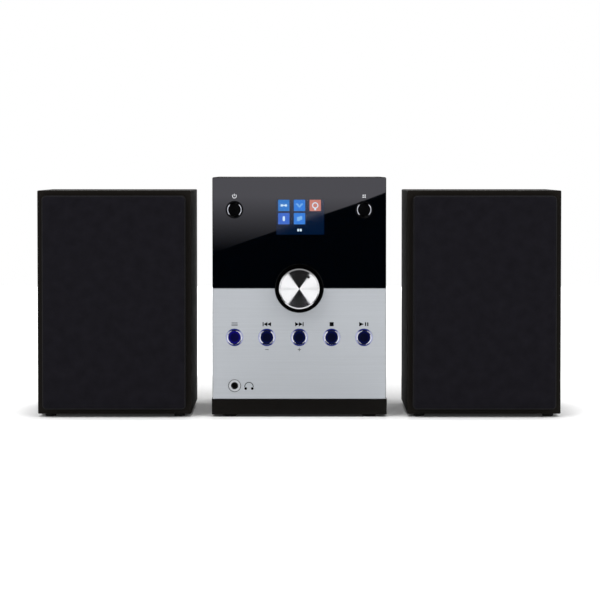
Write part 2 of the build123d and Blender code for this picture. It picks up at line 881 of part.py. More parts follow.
def make_cd_lid():
    """The lid: a skin with a rim, a rounded hinge edge with a bore at each end, a thumb notch."""
    body = lid_outline(lid_half, (lid_front, hinge_y), lid_corner, lid_under, top)
    body += rod_along_x(hinge_y, hinge_z, lid_thickness / 2, -lid_half, lid_half)
    pocket_y = (lid_front + lid_rim + lid_notch_depth, hinge_y - lid_hinge_band)
    pocket_x = (-lid_half + lid_rim, lid_half - lid_rim)
    body -= flat_slab(pocket_x, pocket_y, lid_corner, lid_under - overcut, top - lid_skin)
    notch_y = around(lid_front, 2 * lid_notch_depth)
    corner = lid_notch_depth - round_slack
    body -= flat_slab(around(0.0, lid_notch_width), notch_y, corner, lid_under - overcut, top + overcut)
    for side in (-1, 1):
        ends = sorted((side * (lid_half - hinge_pin_length), side * (lid_half + overcut)))
        body -= rod_along_x(hinge_y, hinge_z, hinge_pin_radius + shaft_gap, *ends)
    return body


def make_mechanism_frame():
    """The sub-chassis under the well: plate, four dampers up to the well, rod lugs."""
    y = (well_y - mechanism_half_width, well_y + mechanism_half_width)
    frame = block((-mechanism_left, mechanism_right), y, (mechanism_under, mechanism_top))
    for x in (damper_radius + damper_margin - mechanism_left, window_outer - damper_setback):
        for side in (-1, 1):
            place = well_y + side * (mechanism_half_width - damper_radius)
            frame += rod_along_z(x, place, damper_radius, mechanism_under, well_floor - deck_wall)
    through = (mechanism_under - overcut, mechanism_top + overcut)
    frame -= rod_along_z(0.0, well_y, mechanism_hole_radius, *through)
    slot_x = (sled_inner_radius - lens_half - mechanism_slot_inner, sled_slot_end - mechanism_slot_outer)
    frame -= block(slot_x, around(well_y, 2 * sled_slot_half_width), through)
    for side in (-1, 1):
        rod_y = well_y + side * rod_offset
        lug_y = around(rod_y, 2 * (rod_radius + rod_wall))
        for x in ((rod_start, rod_start + rod_lug), (rod_end - rod_lug, rod_end)):
            frame += block(x, lug_y, (rod_z - rod_radius - rod_wall, mechanism_under))
        frame -= rod_along_x(rod_y, rod_z, rod_radius + press_gap, 0.0, mechanism_right + overcut)
    return frame


def make_sled_rods():
    """Two ground rods that guide the sled."""
    places = [well_y + side * rod_offset for side in (-1, 1)]
    return group([rod_along_x(y, rod_z, rod_radius, rod_start, rod_end) for y in places])


def make_laser_sled():
    """The pick-up: a block on the rods and a tower with the lens under the disc."""
    x = around(sled_inner_radius, sled_length)
    y = (well_y - sled_half_width, well_y + sled_half_width)
    base = rod_z - sled_thickness / 2
    sled = block(x, y, (base, base + sled_thickness))
    for side in (-1, 1):
        sled -= rod_along_x(well_y + side * rod_offset, rod_z, rod_radius + shaft_gap, 0.0, 2 * rod_end)
    lens_top = disc_z - lens_gap
    tower_top = lens_top - lens_proud
    tower_y = around(well_y, 2 * (sled_slot_half_width - sled_tower_gap))
    tower_z = (base + sled_thickness - overlap, tower_top)
    sled += block(around(sled_inner_radius, 2 * lens_half), tower_y, tower_z)
    return sled + rod_along_z(sled_inner_radius, well_y, lens_radius, tower_top - overlap, lens_top)


def make_spindle_motor():
    """The motor that turns the disc, under the mechanism's plate."""
    motor = rod_along_z(0.0, well_y, spindle_motor_radius, motor_under, mechanism_under)
    boss = (mechanism_under - overlap, mechanism_top - spindle_boss_drop)
    motor += rod_along_z(0.0, well_y, spindle_motor_boss, *boss)
    bore = (motor_under + spindle_motor_base, mechanism_top)
    return motor - rod_along_z(0.0, well_y, spindle_radius + shaft_gap, *bore)


def make_disc_hub():
    """The platter and nose that a disc snaps onto, on the motor's spindle."""
    spindle_end = motor_under + spindle_motor_base + spindle_end_gap
    under = disc_z - hub_thickness
    profile = [
        (0.0, spindle_end),
        (spindle_radius, spindle_end),
        (spindle_radius, mechanism_top + hub_floor_gap),
        (hub_boss_radius, mechanism_top + hub_floor_gap),
        (hub_boss_radius, under),
        (hub_radius, under),
        (hub_radius, disc_z),
        (hub_nose_radius, disc_z),
        (hub_nose_radius, disc_z + hub_nose_height - hub_nose_edge),
        (hub_nose_radius - hub_nose_edge, disc_z + hub_nose_height),
        (0.0, disc_z + hub_nose_height),
    ]
    hub = turned_on_z(profile, 0.0, well_y)
    for turn in (90, 210, 330):
        reach = hub_nose_radius - hub_ball_radius + hub_ball_proud
        x = reach * cos(radians(turn))
        y = well_y + reach * sin(radians(turn))
        hub += Pos(x, y, disc_z + hub_nose_height / 2) * Sphere(hub_ball_radius)
    return hub


# ---------------------------------------------------------------- rear parts and boards


def make_main_board():
    """Tuner, amplifier and disc electronics, with chips, capacitors and a finned heat sink."""
    board = block((main_board_left, main_board_right), (board_front, board_rear), (board_z, board_top))
    for x, y, side in main_chips:
        place = (around(main_board_left + x, side), around(board_front + y, side))
        board += block(*place, (board_z, board_top + chip_height))
    radius, height = main_capacitor
    for x, y in main_capacitor_places:
        board += rod_along_z(main_board_left + x, board_front + y, radius, board_z, board_top + height)
    wide, long, tall = heat_sink
    sink_right = main_board_right - heat_sink_margin
    sink_x = (sink_right - wide, sink_right)
    sink_y = around(board_front + heat_sink_setback, long)
    board += block((sink_x[0], sink_x[0] + heat_sink_base), sink_y, (board_z, board_top + tall))
    pitch = (tall - 2 * heat_sink_end) / (heat_sink_fins - 1)
    for fin in range(heat_sink_fins):
        z = board_top + heat_sink_end + fin * pitch
        board += block(sink_x, sink_y, around(z, heat_sink_fin))
    return board


def make_power_supply():
    """The supply board with its transformer, mains capacitor and coils."""
    board = block((supply_left, supply_right), (board_front, board_rear), (board_z, board_top))
    wide, long, tall = transformer
    x, y = supply_left + transformer_place[0], board_front + transformer_place[1]
    core = (around(x, wide), around(y, long), (board_z, board_top + tall))
    winding_x = around(x, wide + 2 * winding_proud)
    winding_y = around(y, long - 2 * winding_setback)
    winding = (winding_x, winding_y, (board_z, board_top + tall - winding_drop))
    for limits in (core, winding):
        board += fillet(block(*limits).edges().filter_by(Axis.Z), transformer_corner)
    for x, y, radius, height in supply_capacitors:
        board += rod_along_z(supply_left + x, board_front + y, radius, board_z, board_top + height)
    return board


def make_mains_inlet():
    """The two-pin mains inlet in the rear panel."""
    wide, tall, thick = inlet_flange
    face = rear + thick
    inlet = upright_slab(inlet_x, inlet_z, wide, tall, inlet_corner, rear, face)
    body = (rear - inlet_body[2], rear + overlap)
    inlet += block(around(inlet_x, inlet_body[0]), body, around(inlet_z, inlet_body[1]))
    wide, tall, deep = inlet_mouth
    corner = tall / 2 - round_slack
    inlet -= upright_slab(inlet_x, inlet_z, wide, tall, corner, face - deep, face + overcut)
    for side in (-1, 1):
        pin = (face - deep - overlap, face - inlet_pin_recess)
        inlet += rod_along_y(inlet_x + side * inlet_pin_offset, inlet_z, inlet_pin_radius, *pin)
    return inlet


def lever_places():
    """The x of each of the four terminal levers."""
    first = terminal_x - terminal_pitch * (terminal_count - 1) / 2
    return [first + index * terminal_pitch for index in range(terminal_count)]


def make_terminal_block():
    """The loudspeaker terminals: a cell side by side for each lead, with a lever slot and a wire hole."""
    wide, tall = terminal_body_width, terminal_body_tall
    lip = 2 * terminal_lip
    outline = (wide + lip, tall + lip, terminal_corner)
    housing = upright_slab(terminal_x, terminal_z, *outline, rear, terminal_face)
    body = (rear - terminal_body_depth, rear + overlap)
    housing += block(around(terminal_x, wide), body, around(terminal_z, tall))
    half = lever_thickness / 2
    slot_z = (pivot_z - half - lever_slot_slack - lever_drop, pivot_z + half + lever_slot_slack)
    slot_y = (pivot_y - half - lever_back_gap, terminal_face + overcut)
    hole_y = (terminal_face - wire_hole_depth, terminal_face + overcut)
    bearing = trunnion_radius + shaft_gap
    bearing_length = lever_width + 2 * (trunnion_length + trunnion_end_gap)
    for x in lever_places():
        housing -= block(around(x, lever_width + 2 * button_gap), slot_y, slot_z)
        housing -= rod_along_x(pivot_y, pivot_z, bearing, *around(x, bearing_length))
        housing -= rod_along_y(x, terminal_z - wire_hole_drop, wire_hole_radius, *hole_y)
    joints = [x + terminal_pitch / 2 for x in lever_places()[:-1]]
    ends = [-half_width, *joints, half_width]
    cells = [block(x, (front, rear + unit_depth), (floor_z, top)) for x in zip(ends, ends[1:])]
    return group([housing & cell for cell in cells])


def make_terminal_lever(index):
    """One sprung lever, which opens the wire hole under it when it is pressed down."""
    x = lever_places()[index]
    wide = around(x, lever_width)
    lever = block(wide, (pivot_y, rear + lever_proud), around(pivot_z, lever_thickness))
    lever = fillet(lever.edges().filter_by(Axis.X).group_by(Axis.Y)[-1], lever_edge)
    lever += rod_along_x(pivot_y, pivot_z, lever_thickness / 2, *wide)
    ends = around(x, lever_width + 2 * trunnion_length)
    return lever + rod_along_x(pivot_y, pivot_z, trunnion_radius, *ends)


def make_usb_socket():
    """The USB socket: a steel shell on the main board with its tongue inside."""
    wide, tall, deep = usb_shell
    face = rear + usb_proud
    z = (board_top, board_top + tall)
    shell = block(around(usb_x, wide), (face - deep, face), z)
    inner_z = (z[0] + usb_wall, z[1] - usb_wall)
    back = face - deep + usb_back_wall
    shell -= block(around(usb_x, wide - 2 * usb_wall), (back, face + overcut), inner_z)
    tongue_wide, tongue_thick, tongue_long = usb_tongue
    tongue_top = inner_z[1] - usb_tongue_drop
    tongue_y = (back - overlap, back + tongue_long)
    return shell + block(around(usb_x, tongue_wide), tongue_y, (tongue_top - tongue_thick, tongue_top))


def make_aux_socket():
    """The line-in jack on the main board, its nose through the rear panel."""
    face = rear + aux_nose_proud
    depth = (rear_inside - aux_block_depth, rear_inside)
    socket = block(around(aux_x, aux_block), depth, around(aux_z, aux_block))
    socket += rod_along_y(aux_x, aux_z, aux_nose_radius, rear_inside - overlap, face)
    bore = (depth[0] + aux_end_wall, face + overcut)
    return socket - rod_along_y(aux_x, aux_z, jack_bore_radius, *bore)


def make_aerial_grommet():
    """The rubber grommet that the aerial wire comes out of."""
    inner = rear_inside - grommet_flange
    outer = rear + grommet_flange
    profile = [
        (grommet_bore, inner),
        (grommet_radius, inner),
        (grommet_radius, rear_inside),
        (grommet_neck, rear_inside),
        (grommet_neck, rear),
        (grommet_radius, rear),
        (grommet_radius - grommet_edge, outer),
        (grommet_bore, outer),
    ]
    return turned_on_y(profile, grommet_x, grommet_z)


# ---------------------------------------------------------------- loudspeakers


def make_cabinet(x):
    """The box of a loudspeaker, open at the front, with the lead's hole in its back."""
    wide = around(x, speaker_width)
    tall = (cabinet_bottom, speaker_height)
    back = front + speaker_depth
    box = fillet(block(wide, (front, back), tall).edges(), cabinet_edge)
    inner_x = (wide[0] + cabinet_wall, wide[1] - cabinet_wall)
    inner_z = (tall[0] + cabinet_wall, tall[1] - cabinet_wall)
    box -= block(inner_x, (front - overcut, back - cabinet_wall), inner_z)
    through = (back - cabinet_wall - overcut, back + overcut)
    return box - rod_along_y(x, gland_height, gland_radius + seat_gap, *through)


def make_baffle(x):
    """The board in the box's mouth that carries the driver and the grille's pegs."""
    half = speaker_width / 2 - cabinet_wall - seat_gap
    z = (cabinet_bottom + cabinet_wall + seat_gap, speaker_height - cabinet_wall - seat_gap)
    board = block((x - half, x + half), (front, front + baffle_thickness), z)
    through = (front - overcut, front + baffle_thickness + overcut)
    board -= rod_along_y(x, driver_height, driver_hole_radius, *through)
    peg_hole = (front - overcut, front + peg_length + peg_end_gap)
    for peg_x, peg_z in peg_places(x):
        board -= rod_along_y(peg_x, peg_z, peg_radius + peg_gap, *peg_hole)
    return board


def peg_places(x):
    """The x and z of the four grille pegs of the loudspeaker centred on x."""
    reach_x = grille_width / 2 - peg_inset
    reach_z = grille_tall / 2 - peg_inset
    return [(x + sx * reach_x, driver_height + sz * reach_z) for sx in (-1, 1) for sz in (-1, 1)]


def make_grille_frame(x):
    """The frame that carries the cloth, with corner gussets and a peg at each corner."""
    wide = grille_width - 2 * cloth_wrap
    tall = grille_tall - 2 * cloth_wrap
    frame = upright_slab(x, driver_height, wide, tall, grille_corner, cloth_back, front)
    opening = (wide - 2 * grille_bar, tall - 2 * grille_bar)
    through = (cloth_back - overcut, front + overcut)
    hole = upright_slab(x, driver_height, *opening, grille_inner_corner, *through)
    for sx in (-1, 1):
        for sz in (-1, 1):
            corner_x = around(x + sx * opening[0] / 2, grille_gusset)
            corner_z = around(driver_height + sz * opening[1] / 2, grille_gusset)
            hole -= block(corner_x, through, corner_z)
    frame -= hole
    for peg_x, peg_z in peg_places(x):
        frame += rod_along_y(peg_x, peg_z, peg_radius, front - overlap, front + peg_length)
    return frame


def make_grille_cloth(x):
    """The cloth over the grille's front."""
    face = front - grille_proud
    return upright_slab(x, driver_height, grille_width, grille_tall, grille_corner, face, cloth_back)


def make_driver_basket(x):
    """The driver's basket with four windows, its magnet and its pole."""
    flange = front - driver_flange_thickness
    back = front + basket_depth
    end = back + basket_wall + magnet_length
    basket = turned_on_y(
        [
            (basket_mouth_radius - basket_wall, flange),
            (driver_flange_radius, flange),
            (driver_flange_radius, front),
            (basket_mouth_radius, front),
            (basket_back_radius, back + basket_wall),
            (gap_radius, back + basket_wall),
            (gap_radius, back),
            (basket_back_radius - basket_wall, back),
            (basket_mouth_radius - basket_wall, front),
        ],
        x,
        driver_height,
    )
    middle = (front + back) / 2
    reach = (basket_mouth_radius + basket_back_radius) / 2
    window = Box(basket_window_reach, basket_depth - 2 * basket_window_rim, basket_window_width)
    for index in range(basket_windows):
        turn = 360.0 * (index + 0.5) / basket_windows
        basket -= Pos(x, middle, driver_height) * Rot(0, turn, 0) * Pos(reach, 0, 0) * window
    magnet = turned_on_y(
        [
            (gap_radius, back + basket_wall),
            (magnet_radius, back + basket_wall),
            (magnet_radius, end),
            (0.0, end),
            (0.0, back),
            (pole_radius, back),
            (pole_radius, end - magnet_base),
            (gap_radius, end - magnet_base),
        ],
        x,
        driver_height,
    )
    return basket + magnet


def make_driver_surround(x):
    """The half-round rubber roll between the basket and the cone."""
    face = front - driver_flange_thickness
    outer = Pos(roll_middle, face) * Circle(roll_radius)
    inner = Pos(roll_middle, face) * Circle(roll_radius - roll_skin)
    behind = Pos(roll_middle, face + roll_radius) * Rectangle(3 * roll_radius, 2 * roll_radius)
    flat_width = surround_flat_radius - roll_middle - roll_radius + roll_skin
    flat = Pos(surround_flat_radius - flat_width / 2, face - roll_skin / 2) * Rectangle(flat_width, roll_skin)
    section = outer - inner - behind + flat
    return Pos(x, 0, driver_height) * revolve(section, Axis.Y)


def make_driver_cone(x):
    """The paper cone with its rim, dust cap and voice coil former."""
    rim = roll_middle - roll_radius - cone_clearance
    lip = front - driver_flange_thickness - cone_setback
    neck = lip + cone_depth
    cone = turned_on_y(
        [
            (rim, lip),
            (rim, lip + cone_skin),
            (coil_radius, neck + cone_skin),
            (coil_radius, neck + coil_length),
            (coil_radius - coil_wall, neck + coil_length),
            (coil_radius - coil_wall, neck),
            (cone_neck_radius, neck - cone_setback),
            (rim - cone_slope, lip),
        ],
        x,
        driver_height,
    )
    ball = (cone_neck_radius**2 + dust_cap_rise**2) / (2 * dust_cap_rise)
    centre_y = neck - dust_cap_rise + ball
    cap = Sphere(ball) - Sphere(ball - cone_skin)
    keep = Pos(0, -ball, 0) * Box(3 * ball, 2 * dust_cap_rise, 3 * ball)
    return cone + Pos(x, centre_y, driver_height) * (cap & keep)


def make_lead_gland(x):
    """The bush in the cabinet's back that the loudspeaker's lead comes out of."""
    back = front + speaker_depth
    profile = [
        (gland_bore, back - cabinet_wall),
        (gland_radius, back - cabinet_wall),
        (gland_radius, back),
        (gland_flange_radius, back),
        (gland_flange_radius - gland_edge, back + gland_flange),
        (gland_bore, back + gland_flange),
    ]
    return turned_on_y(profile, x, gland_height)


def make_speaker_feet(x):
    """Four rubber feet under a loudspeaker."""
    profile = [
        (0.0, 0.0),
        (speaker_foot_radius - foot_edge, 0.0),
        (speaker_foot_radius, foot_edge),
        (speaker_foot_radius, cabinet_bottom),
        (0.0, cabinet_bottom),
    ]
    reach = speaker_width / 2 - speaker_foot_inset
    places = (front + speaker_foot_inset, front + speaker_depth - speaker_foot_inset)
    return group([turned_on_z(profile, x + side * reach, y) for side in (-1, 1) for y in places])


# ---------------------------------------------------------------- one file for each node

nodes = {
    "base_chassis": make_base_chassis(),
    "case_cover": make_case_cover(),
    "front_frame": make_front_frame(),
    "front_window": make_front_window(),
    "front_trim": make_front_trim(),
    "rear_panel": make_rear_panel(),
    "unit_feet": make_unit_feet(),
    "case_screws": make_case_screws(),
    "knob_ring": make_knob_ring(),
    "volume_knob": make_volume_knob(),
    "encoder_shaft": make_encoder_shaft(),
    "volume_encoder": make_volume_encoder(),
    "button_collars": make_button_collars(),
    "button_light_rings": make_button_light_rings(),
    "front_board": make_front_board(),
    "display_module": make_display_module(),
    "headphone_jack": make_headphone_jack(),
    "top_deck": make_top_deck(),
    "cd_lid": make_cd_lid(),
    "mechanism_frame": make_mechanism_frame(),
    "sled_rods": make_sled_rods(),
    "laser_sled": make_laser_sled(),
    "spindle_motor": make_spindle_motor(),
    "disc_hub": make_disc_hub(),
    "main_board": make_main_board(),
    "power_supply": make_power_supply(),
    "mains_inlet": make_mains_inlet(),
    "terminal_block": make_terminal_block(),
    "usb_socket": make_usb_socket(),
    "aux_socket": make_aux_socket(),
    "aerial_grommet": make_aerial_grommet(),
}
for button in buttons:
    nodes[f"{button}_button"] = make_button(button)
for number in range(terminal_count):
    nodes[f"terminal_lever_{number + 1}"] = make_terminal_lever(number)
for side_name, centre in (("left", -speaker_centre), ("right", speaker_centre)):
    nodes[f"{side_name}_cabinet"] = make_cabinet(centre)
    nodes[f"{side_name}_baffle"] = make_baffle(centre)
    nodes[f"{side_name}_grille_frame"] = make_grille_frame(centre)
    nodes[f"{side_name}_grille_cloth"] = make_grille_cloth(centre)
    nodes[f"{side_name}_driver_basket"] = make_driver_basket(centre)
    nodes[f"{side_name}_driver_surround"] = make_driver_surround(centre)
    nodes[f"{side_name}_driver_cone"] = make_driver_cone(centre)
    nodes[f"{side_name}_lead_gland"] = make_lead_gland(centre)
    nodes[f"{side_name}_speaker_feet"] = make_speaker_feet(centre)

os.makedirs("parts", exist_ok=True)
for node, shape in nodes.items():
    export_step(shape, f"parts/{node}.step")
print(len(nodes), "nodes written")
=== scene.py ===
"""Looks of a mini hifi set: a centre unit with a disc well under its lid, and two loudspeakers.

The frame holds every part at its real size. This script gives each part its finish and adds what
a drawing leaves out: the stretched grille cloths, the printed symbols, the picture on the
display, the driver screws, and the studio that the set stands in. Everything is in metres, +Z up,
with the fronts facing -Y.
"""

from __future__ import annotations

import logging
from dataclasses import dataclass, field
from enum import Enum
from math import cos, pi, radians, sin, tan
from typing import Any, Callable, Sequence

import bmesh
import bpy
import numpy as np
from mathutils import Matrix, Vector


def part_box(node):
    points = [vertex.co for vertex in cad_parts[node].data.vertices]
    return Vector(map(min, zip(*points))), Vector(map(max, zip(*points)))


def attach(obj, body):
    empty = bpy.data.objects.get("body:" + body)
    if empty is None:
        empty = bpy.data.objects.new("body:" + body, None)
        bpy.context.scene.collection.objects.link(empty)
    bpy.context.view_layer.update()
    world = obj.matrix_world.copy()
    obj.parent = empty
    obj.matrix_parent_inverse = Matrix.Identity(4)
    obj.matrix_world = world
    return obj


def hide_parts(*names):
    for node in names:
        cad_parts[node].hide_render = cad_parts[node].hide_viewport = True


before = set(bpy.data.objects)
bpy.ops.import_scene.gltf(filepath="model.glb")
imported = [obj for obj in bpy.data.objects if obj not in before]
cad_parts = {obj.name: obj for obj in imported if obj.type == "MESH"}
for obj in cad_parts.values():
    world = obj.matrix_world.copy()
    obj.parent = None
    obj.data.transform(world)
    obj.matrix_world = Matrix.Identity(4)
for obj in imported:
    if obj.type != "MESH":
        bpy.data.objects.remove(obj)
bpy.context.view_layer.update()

log = logging.getLogger("hifi")

Colour = tuple[float, float, float, float]
Spot = tuple[float, float]
Place = tuple[float, float, float]
Sockets = dict[str, Any]

MM = 0.001
SKIN = 0.05 * MM  # what lies this near to a face counts as on it
AXIS_CORE = 0.01 * MM  # added to a radius, so that it is never 0 when something is divided by it
SHARP_EDGE = radians(32)
FRONT_VIEW, REAR_VIEW = -1.0, 1.0
SIDES = ("left", "right")
TRANSPORT = ("menu", "previous", "next", "stop", "play")
BLACK: Colour = (0.0, 0.0, 0.0, 1.0)


def tone(red: float, green: float, blue: float) -> Colour:
    """A colour as a paint chart gives it, in the linear values that shaders take.

    Args:
        red: Red, 0 to 255, as green and blue are.
        green: Green.
        blue: Blue.

    Returns:
        The linear colour by the standard sRGB curve, with an alpha of 1.
    """
    chart = np.array([red, green, blue]) / 255.0
    linear = np.where(chart <= 0.04045, chart / 12.92, ((chart + 0.055) / 1.055) ** 2.4)
    return (*(float(part) for part in linear), 1.0)


def scaled(colour: Colour, share: float) -> Colour:
    """A colour made lighter or darker by a share of itself."""
    return (*(min(part * share, 1.0) for part in colour[:3]), 1.0)


# --- Shader maths -------------------------------------------------------------------------------


def operator(operation: str) -> Callable[..., Value]:
    """The method of an operator: one Math node on self and the other values.

    Args:
        operation: What the node works out.

    Returns:
        The method.
    """

    def method(self: Value, *others: Value | float) -> Value:
        """This value and the others through the operator's node."""
        return self.graph.maths(operation, self, *others)

    return method


class Value:
    """One output of a node, on which shader maths is written as a plain expression."""

    def __init__(self, graph: Graph, socket: bpy.types.NodeSocket | None) -> None:
        """Wraps an output socket of a node in that graph."""
        self.graph = graph
        self.socket = socket

    __add__ = __radd__ = operator("ADD")
    __sub__ = operator("SUBTRACT")
    __mul__ = __rmul__ = operator("MULTIPLY")
    __truediv__ = operator("DIVIDE")
    __pow__ = operator("POWER")
    __abs__ = operator("ABSOLUTE")
    __lt__ = operator("LESS_THAN")
    __gt__ = operator("GREATER_THAN")
    either = operator("MAXIMUM")
    sign = operator("SIGN")
    sine = operator("SINE")
    cosine = operator("COSINE")
    root = operator("SQRT")
    rounded = operator("ROUND")
    wrapped = operator("WRAP")

    def __rsub__(self, other: float) -> Value:
        """other - self."""
        return self.graph.maths("SUBTRACT", other, self)

    def clipped(self, low: float, high: float) -> Value:
        """0 up to low, 1 from high, and a smooth rise between them."""
        inputs = {"Value": self, "From Min": low, "From Max": high}
        return self.graph.node("MapRange", {"interpolation_type": "SMOOTHSTEP"}, inputs)


class Graph:
    """The node tree of one finish, with one method that makes its nodes."""

    def __init__(self, tree: bpy.types.NodeTree) -> None:
        """Starts on an emptied tree."""
        self.tree = tree
        tree.nodes.clear()

    def node(
        self,
        kind: str,
        settings: dict[str, Any] | None = None,
        inputs: dict[str | int, Any] | None = None,
        output: str | int = 0,
    ) -> Value:
        """Makes a node, its settings first and its sockets after them.

        Args:
            kind: The node's type, without its common start.
            settings: Its own settings.
            inputs: A value or a link for each socket, by name or number.
            output: Which of its outputs is wanted.

        Returns:
            That output.
        """
        made = self.tree.nodes.new(f"ShaderNode{kind}")
        for name, setting in (settings or {}).items():
            setattr(made, name, setting)
        for name, value in (inputs or {}).items():
            if isinstance(value, Value):
                self.tree.links.new(value.socket, made.inputs[name])
            else:
                made.inputs[name].default_value = value
        return Value(self, made.outputs[output] if len(made.outputs) else None)

    def outputs(self, made: Value, *wanted: str | int) -> tuple[Value, ...]:
        """Several outputs of the node that a value comes from."""
        return tuple(Value(self, made.socket.node.outputs[output]) for output in wanted)

    def maths(self, operation: str, *values: Value | float) -> Value:
        """One Math node on the values given."""
        return self.node("Math", {"operation": operation}, dict(enumerate(values)))

    def place(self) -> Value:
        """Where a point is on the object, in metres from its origin."""
        return self.node("TexCoord", output="Object")

    def parts(self, vector: Value | None = None) -> tuple[Value, ...]:
        """The x, y and z of a vector, or of a point's place."""
        apart = self.node("SeparateXYZ", inputs={0: vector or self.place()})
        return self.outputs(apart, 0, 1, 2)

    def joined(self, first: Value | float, second: Value | float, third: Value | float) -> Value:
        """A vector from its three parts."""
        return self.node("CombineXYZ", inputs={0: first, 1: second, 2: third})

    def noise(
        self, size: float, detail: float = 2.0, stretch: Place = (1, 1, 1), on: Value | None = None
    ) -> Value:
        """Soft random blots, 0 to 1.

        Args:
            size: How large a blot is, in metres.
            detail: How many finer layers are added.
            stretch: How much longer the blots are along each axis.
            on: The coordinates, if not the object's own.

        Returns:
            The value at each point.
        """
        squeeze = tuple(1.0 / (size * share) for share in stretch)
        inputs = {"Vector": on or self.place(), "Scale": squeeze}
        spread = self.node("Mapping", inputs=inputs)
        inputs = {"Vector": spread, "Scale": 1.0, "Detail": detail}
        return self.node("TexNoise", inputs=inputs)

    def cells(self, size: float, output: str = "Distance", distance: str = "EUCLIDEAN") -> Value:
        """Random cells of a size in metres: the distance to the nearest one, or its colour."""
        inputs = {"Vector": self.place(), "Scale": 1.0 / size}
        return self.node("TexVoronoi", {"distance": distance}, inputs, output)

    def blend(self, share: Value | float, first: Any, second: Any) -> Value:
        """From the first colour to the second as share goes from 0 to 1."""
        return self.node("Mix", {"data_type": "RGBA"}, {0: share, 6: first, 7: second}, 2)

    def bump(self, height: Value, depth: float, strength: float = 1.0) -> Value:
        """A normal from a height of 0 to 1 over a depth in metres."""
        inputs = {"Strength": strength, "Distance": depth, "Height": height}
        return self.node("Bump", inputs=inputs)

    def show(self, shader: Value) -> None:
        """Puts a shader on the surface."""
        self.node("OutputMaterial", inputs={"Surface": shader})


def within(value: Value, middle: float, half: float) -> Value:
    """1 where a coordinate lies within half of the middle, else 0."""
    return abs(value - middle) < half


def distance_from(first: Value, second: Value, spot: Spot) -> Value:
    """How far a point is from a spot, in two coordinates."""
    across, along = first - spot[0], second - spot[1]
    return (across * across + along * along).root()


@dataclass(frozen=True)
class Polar:
    """A point as seen from an axis along Y.

    Attributes:
        across: How far it lies from the axis along x.
        up: The same along z.
        radius: How far it lies from the axis, and never quite 0.
    """

    across: Value
    up: Value
    radius: Value

    @classmethod
    def of(cls, across: Value, up: Value) -> Polar:
        """The point that lies so far across and up from the axis."""
        return cls(across, up, (across * across + up * up).root() + AXIS_CORE)

    def leaned(self, slope: Value, where: Value | None = None) -> Value:
        """The normal of a face that looks to -Y, leaned outwards along the radius.

        Args:
            slope: The sideways part of the normal for each 1 of its forward part.
            where: 1 where it leans, and 0 where the surface keeps its own normal.

        Returns:
            The normal, for a shader's Normal socket.
        """
        graph = slope.graph
        across, up = self.across / self.radius * slope, self.up / self.radius * slope
        settings = {"vector_type": "NORMAL", "convert_from": "OBJECT", "convert_to": "WORLD"}
        lean = {0: graph.joined(across, -1.0, up)}
        normal = graph.node("VectorTransform", settings, lean)
        if where is None:
            return normal
        own = graph.node("NewGeometry", output="Normal")
        both = {0: where, 4: own, 5: normal}
        return graph.node("Mix", {"data_type": "VECTOR"}, both, 1)


# --- Finishes -----------------------------------------------------------------------------------


@dataclass(frozen=True)
class Finish:
    """The surface of one real material: its colour, its gloss and its texture.

    Attributes:
        name: What the material is called.
        colour: Its own colour.
        roughness: How dull it is, 0 to 1.
        gloss: How much it mirrors, where 0.5 is usual for plastics.
    """

    name: str
    colour: Colour
    roughness: float = 0.5
    gloss: float = 0.5

    def body(self, graph: Graph) -> Sockets:
        """Draws the finish, and each finish says in words how.

        Args:
            graph: The graph to draw it in.

        Returns:
            A value or a link for each socket of the surface shader.
        """
        raise NotImplementedError

    def material(self) -> bpy.types.Material:
        """Makes the material of this finish the first time that it is asked for.

        Returns:
            The one material of that name.
        """
        made = bpy.data.materials.get(self.name)
        if made is None:
            made = bpy.data.materials.new(self.name)
            made.use_nodes = True
            made.diffuse_color = self.colour
            graph = Graph(made.node_tree)
            graph.show(graph.node("BsdfPrincipled", inputs=self.body(graph)))
        return made

    def mottled(self, share: Value, low: float, high: float = 1.0) -> Value:
        """The finish's colour, from a low share of itself to a high one."""
        return share.graph.blend(share, scaled(self.colour, low), scaled(self.colour, high))

    def plain(self, colour: Any, roughness: Any, normal: Value | None = None) -> Sockets:
        """The sockets that most finishes share."""
        sockets = {"Base Color": colour, "Roughness": roughness, "Specular IOR Level": self.gloss}
        return sockets if normal is None else sockets | {"Normal": normal}

    @staticmethod
    def lit(sockets: Sockets, share: Value, dim: Any, full: Any) -> Sockets:
        """Those sockets and a light of their own, which goes from dim to full with a share."""
        glow = share.graph.blend(share, dim, full)
        return sockets | {"Emission Color": glow, "Emission Strength": 1.0}


@dataclass(frozen=True)
class Moulding(Finish):
    """Moulded plastic or rubber: a fine spark-eroded grain of some size and depth in metres."""

    grain: float = 0.45 * MM
    depth: float = 0.012 * MM

    def body(self, graph: Graph) -> Sockets:
        """Grain as a bump, with blots of 9 mm in the colour and of 4 mm in the gloss."""
        roughness = self.roughness - 0.04 + graph.noise(4 * MM) * 0.08
        normal = graph.bump(graph.noise(self.grain, 3.0), self.depth)
        return self.plain(self.mottled(graph.noise(9 * MM), 0.85, 1.15), roughness, normal)


@dataclass(frozen=True)
class PowderPaint(Finish):
    """Baked powder paint on sheet steel: rounded dimples of some size and depth in metres."""

    dimple: float = 0.7 * MM
    depth: float = 0.03 * MM

    def body(self, graph: Graph) -> Sockets:
        """Voronoi distances make the rounded dimples, and noise their unevenness."""
        dimples = graph.cells(self.dimple) * 0.7 + graph.noise(self.dimple, 2.0) * 0.5
        roughness = self.roughness + graph.noise(2 * MM) * 0.1
        colour = self.mottled(graph.noise(16 * MM), 0.85, 1.2)
        return self.plain(colour, roughness, graph.bump(dimples, self.depth))


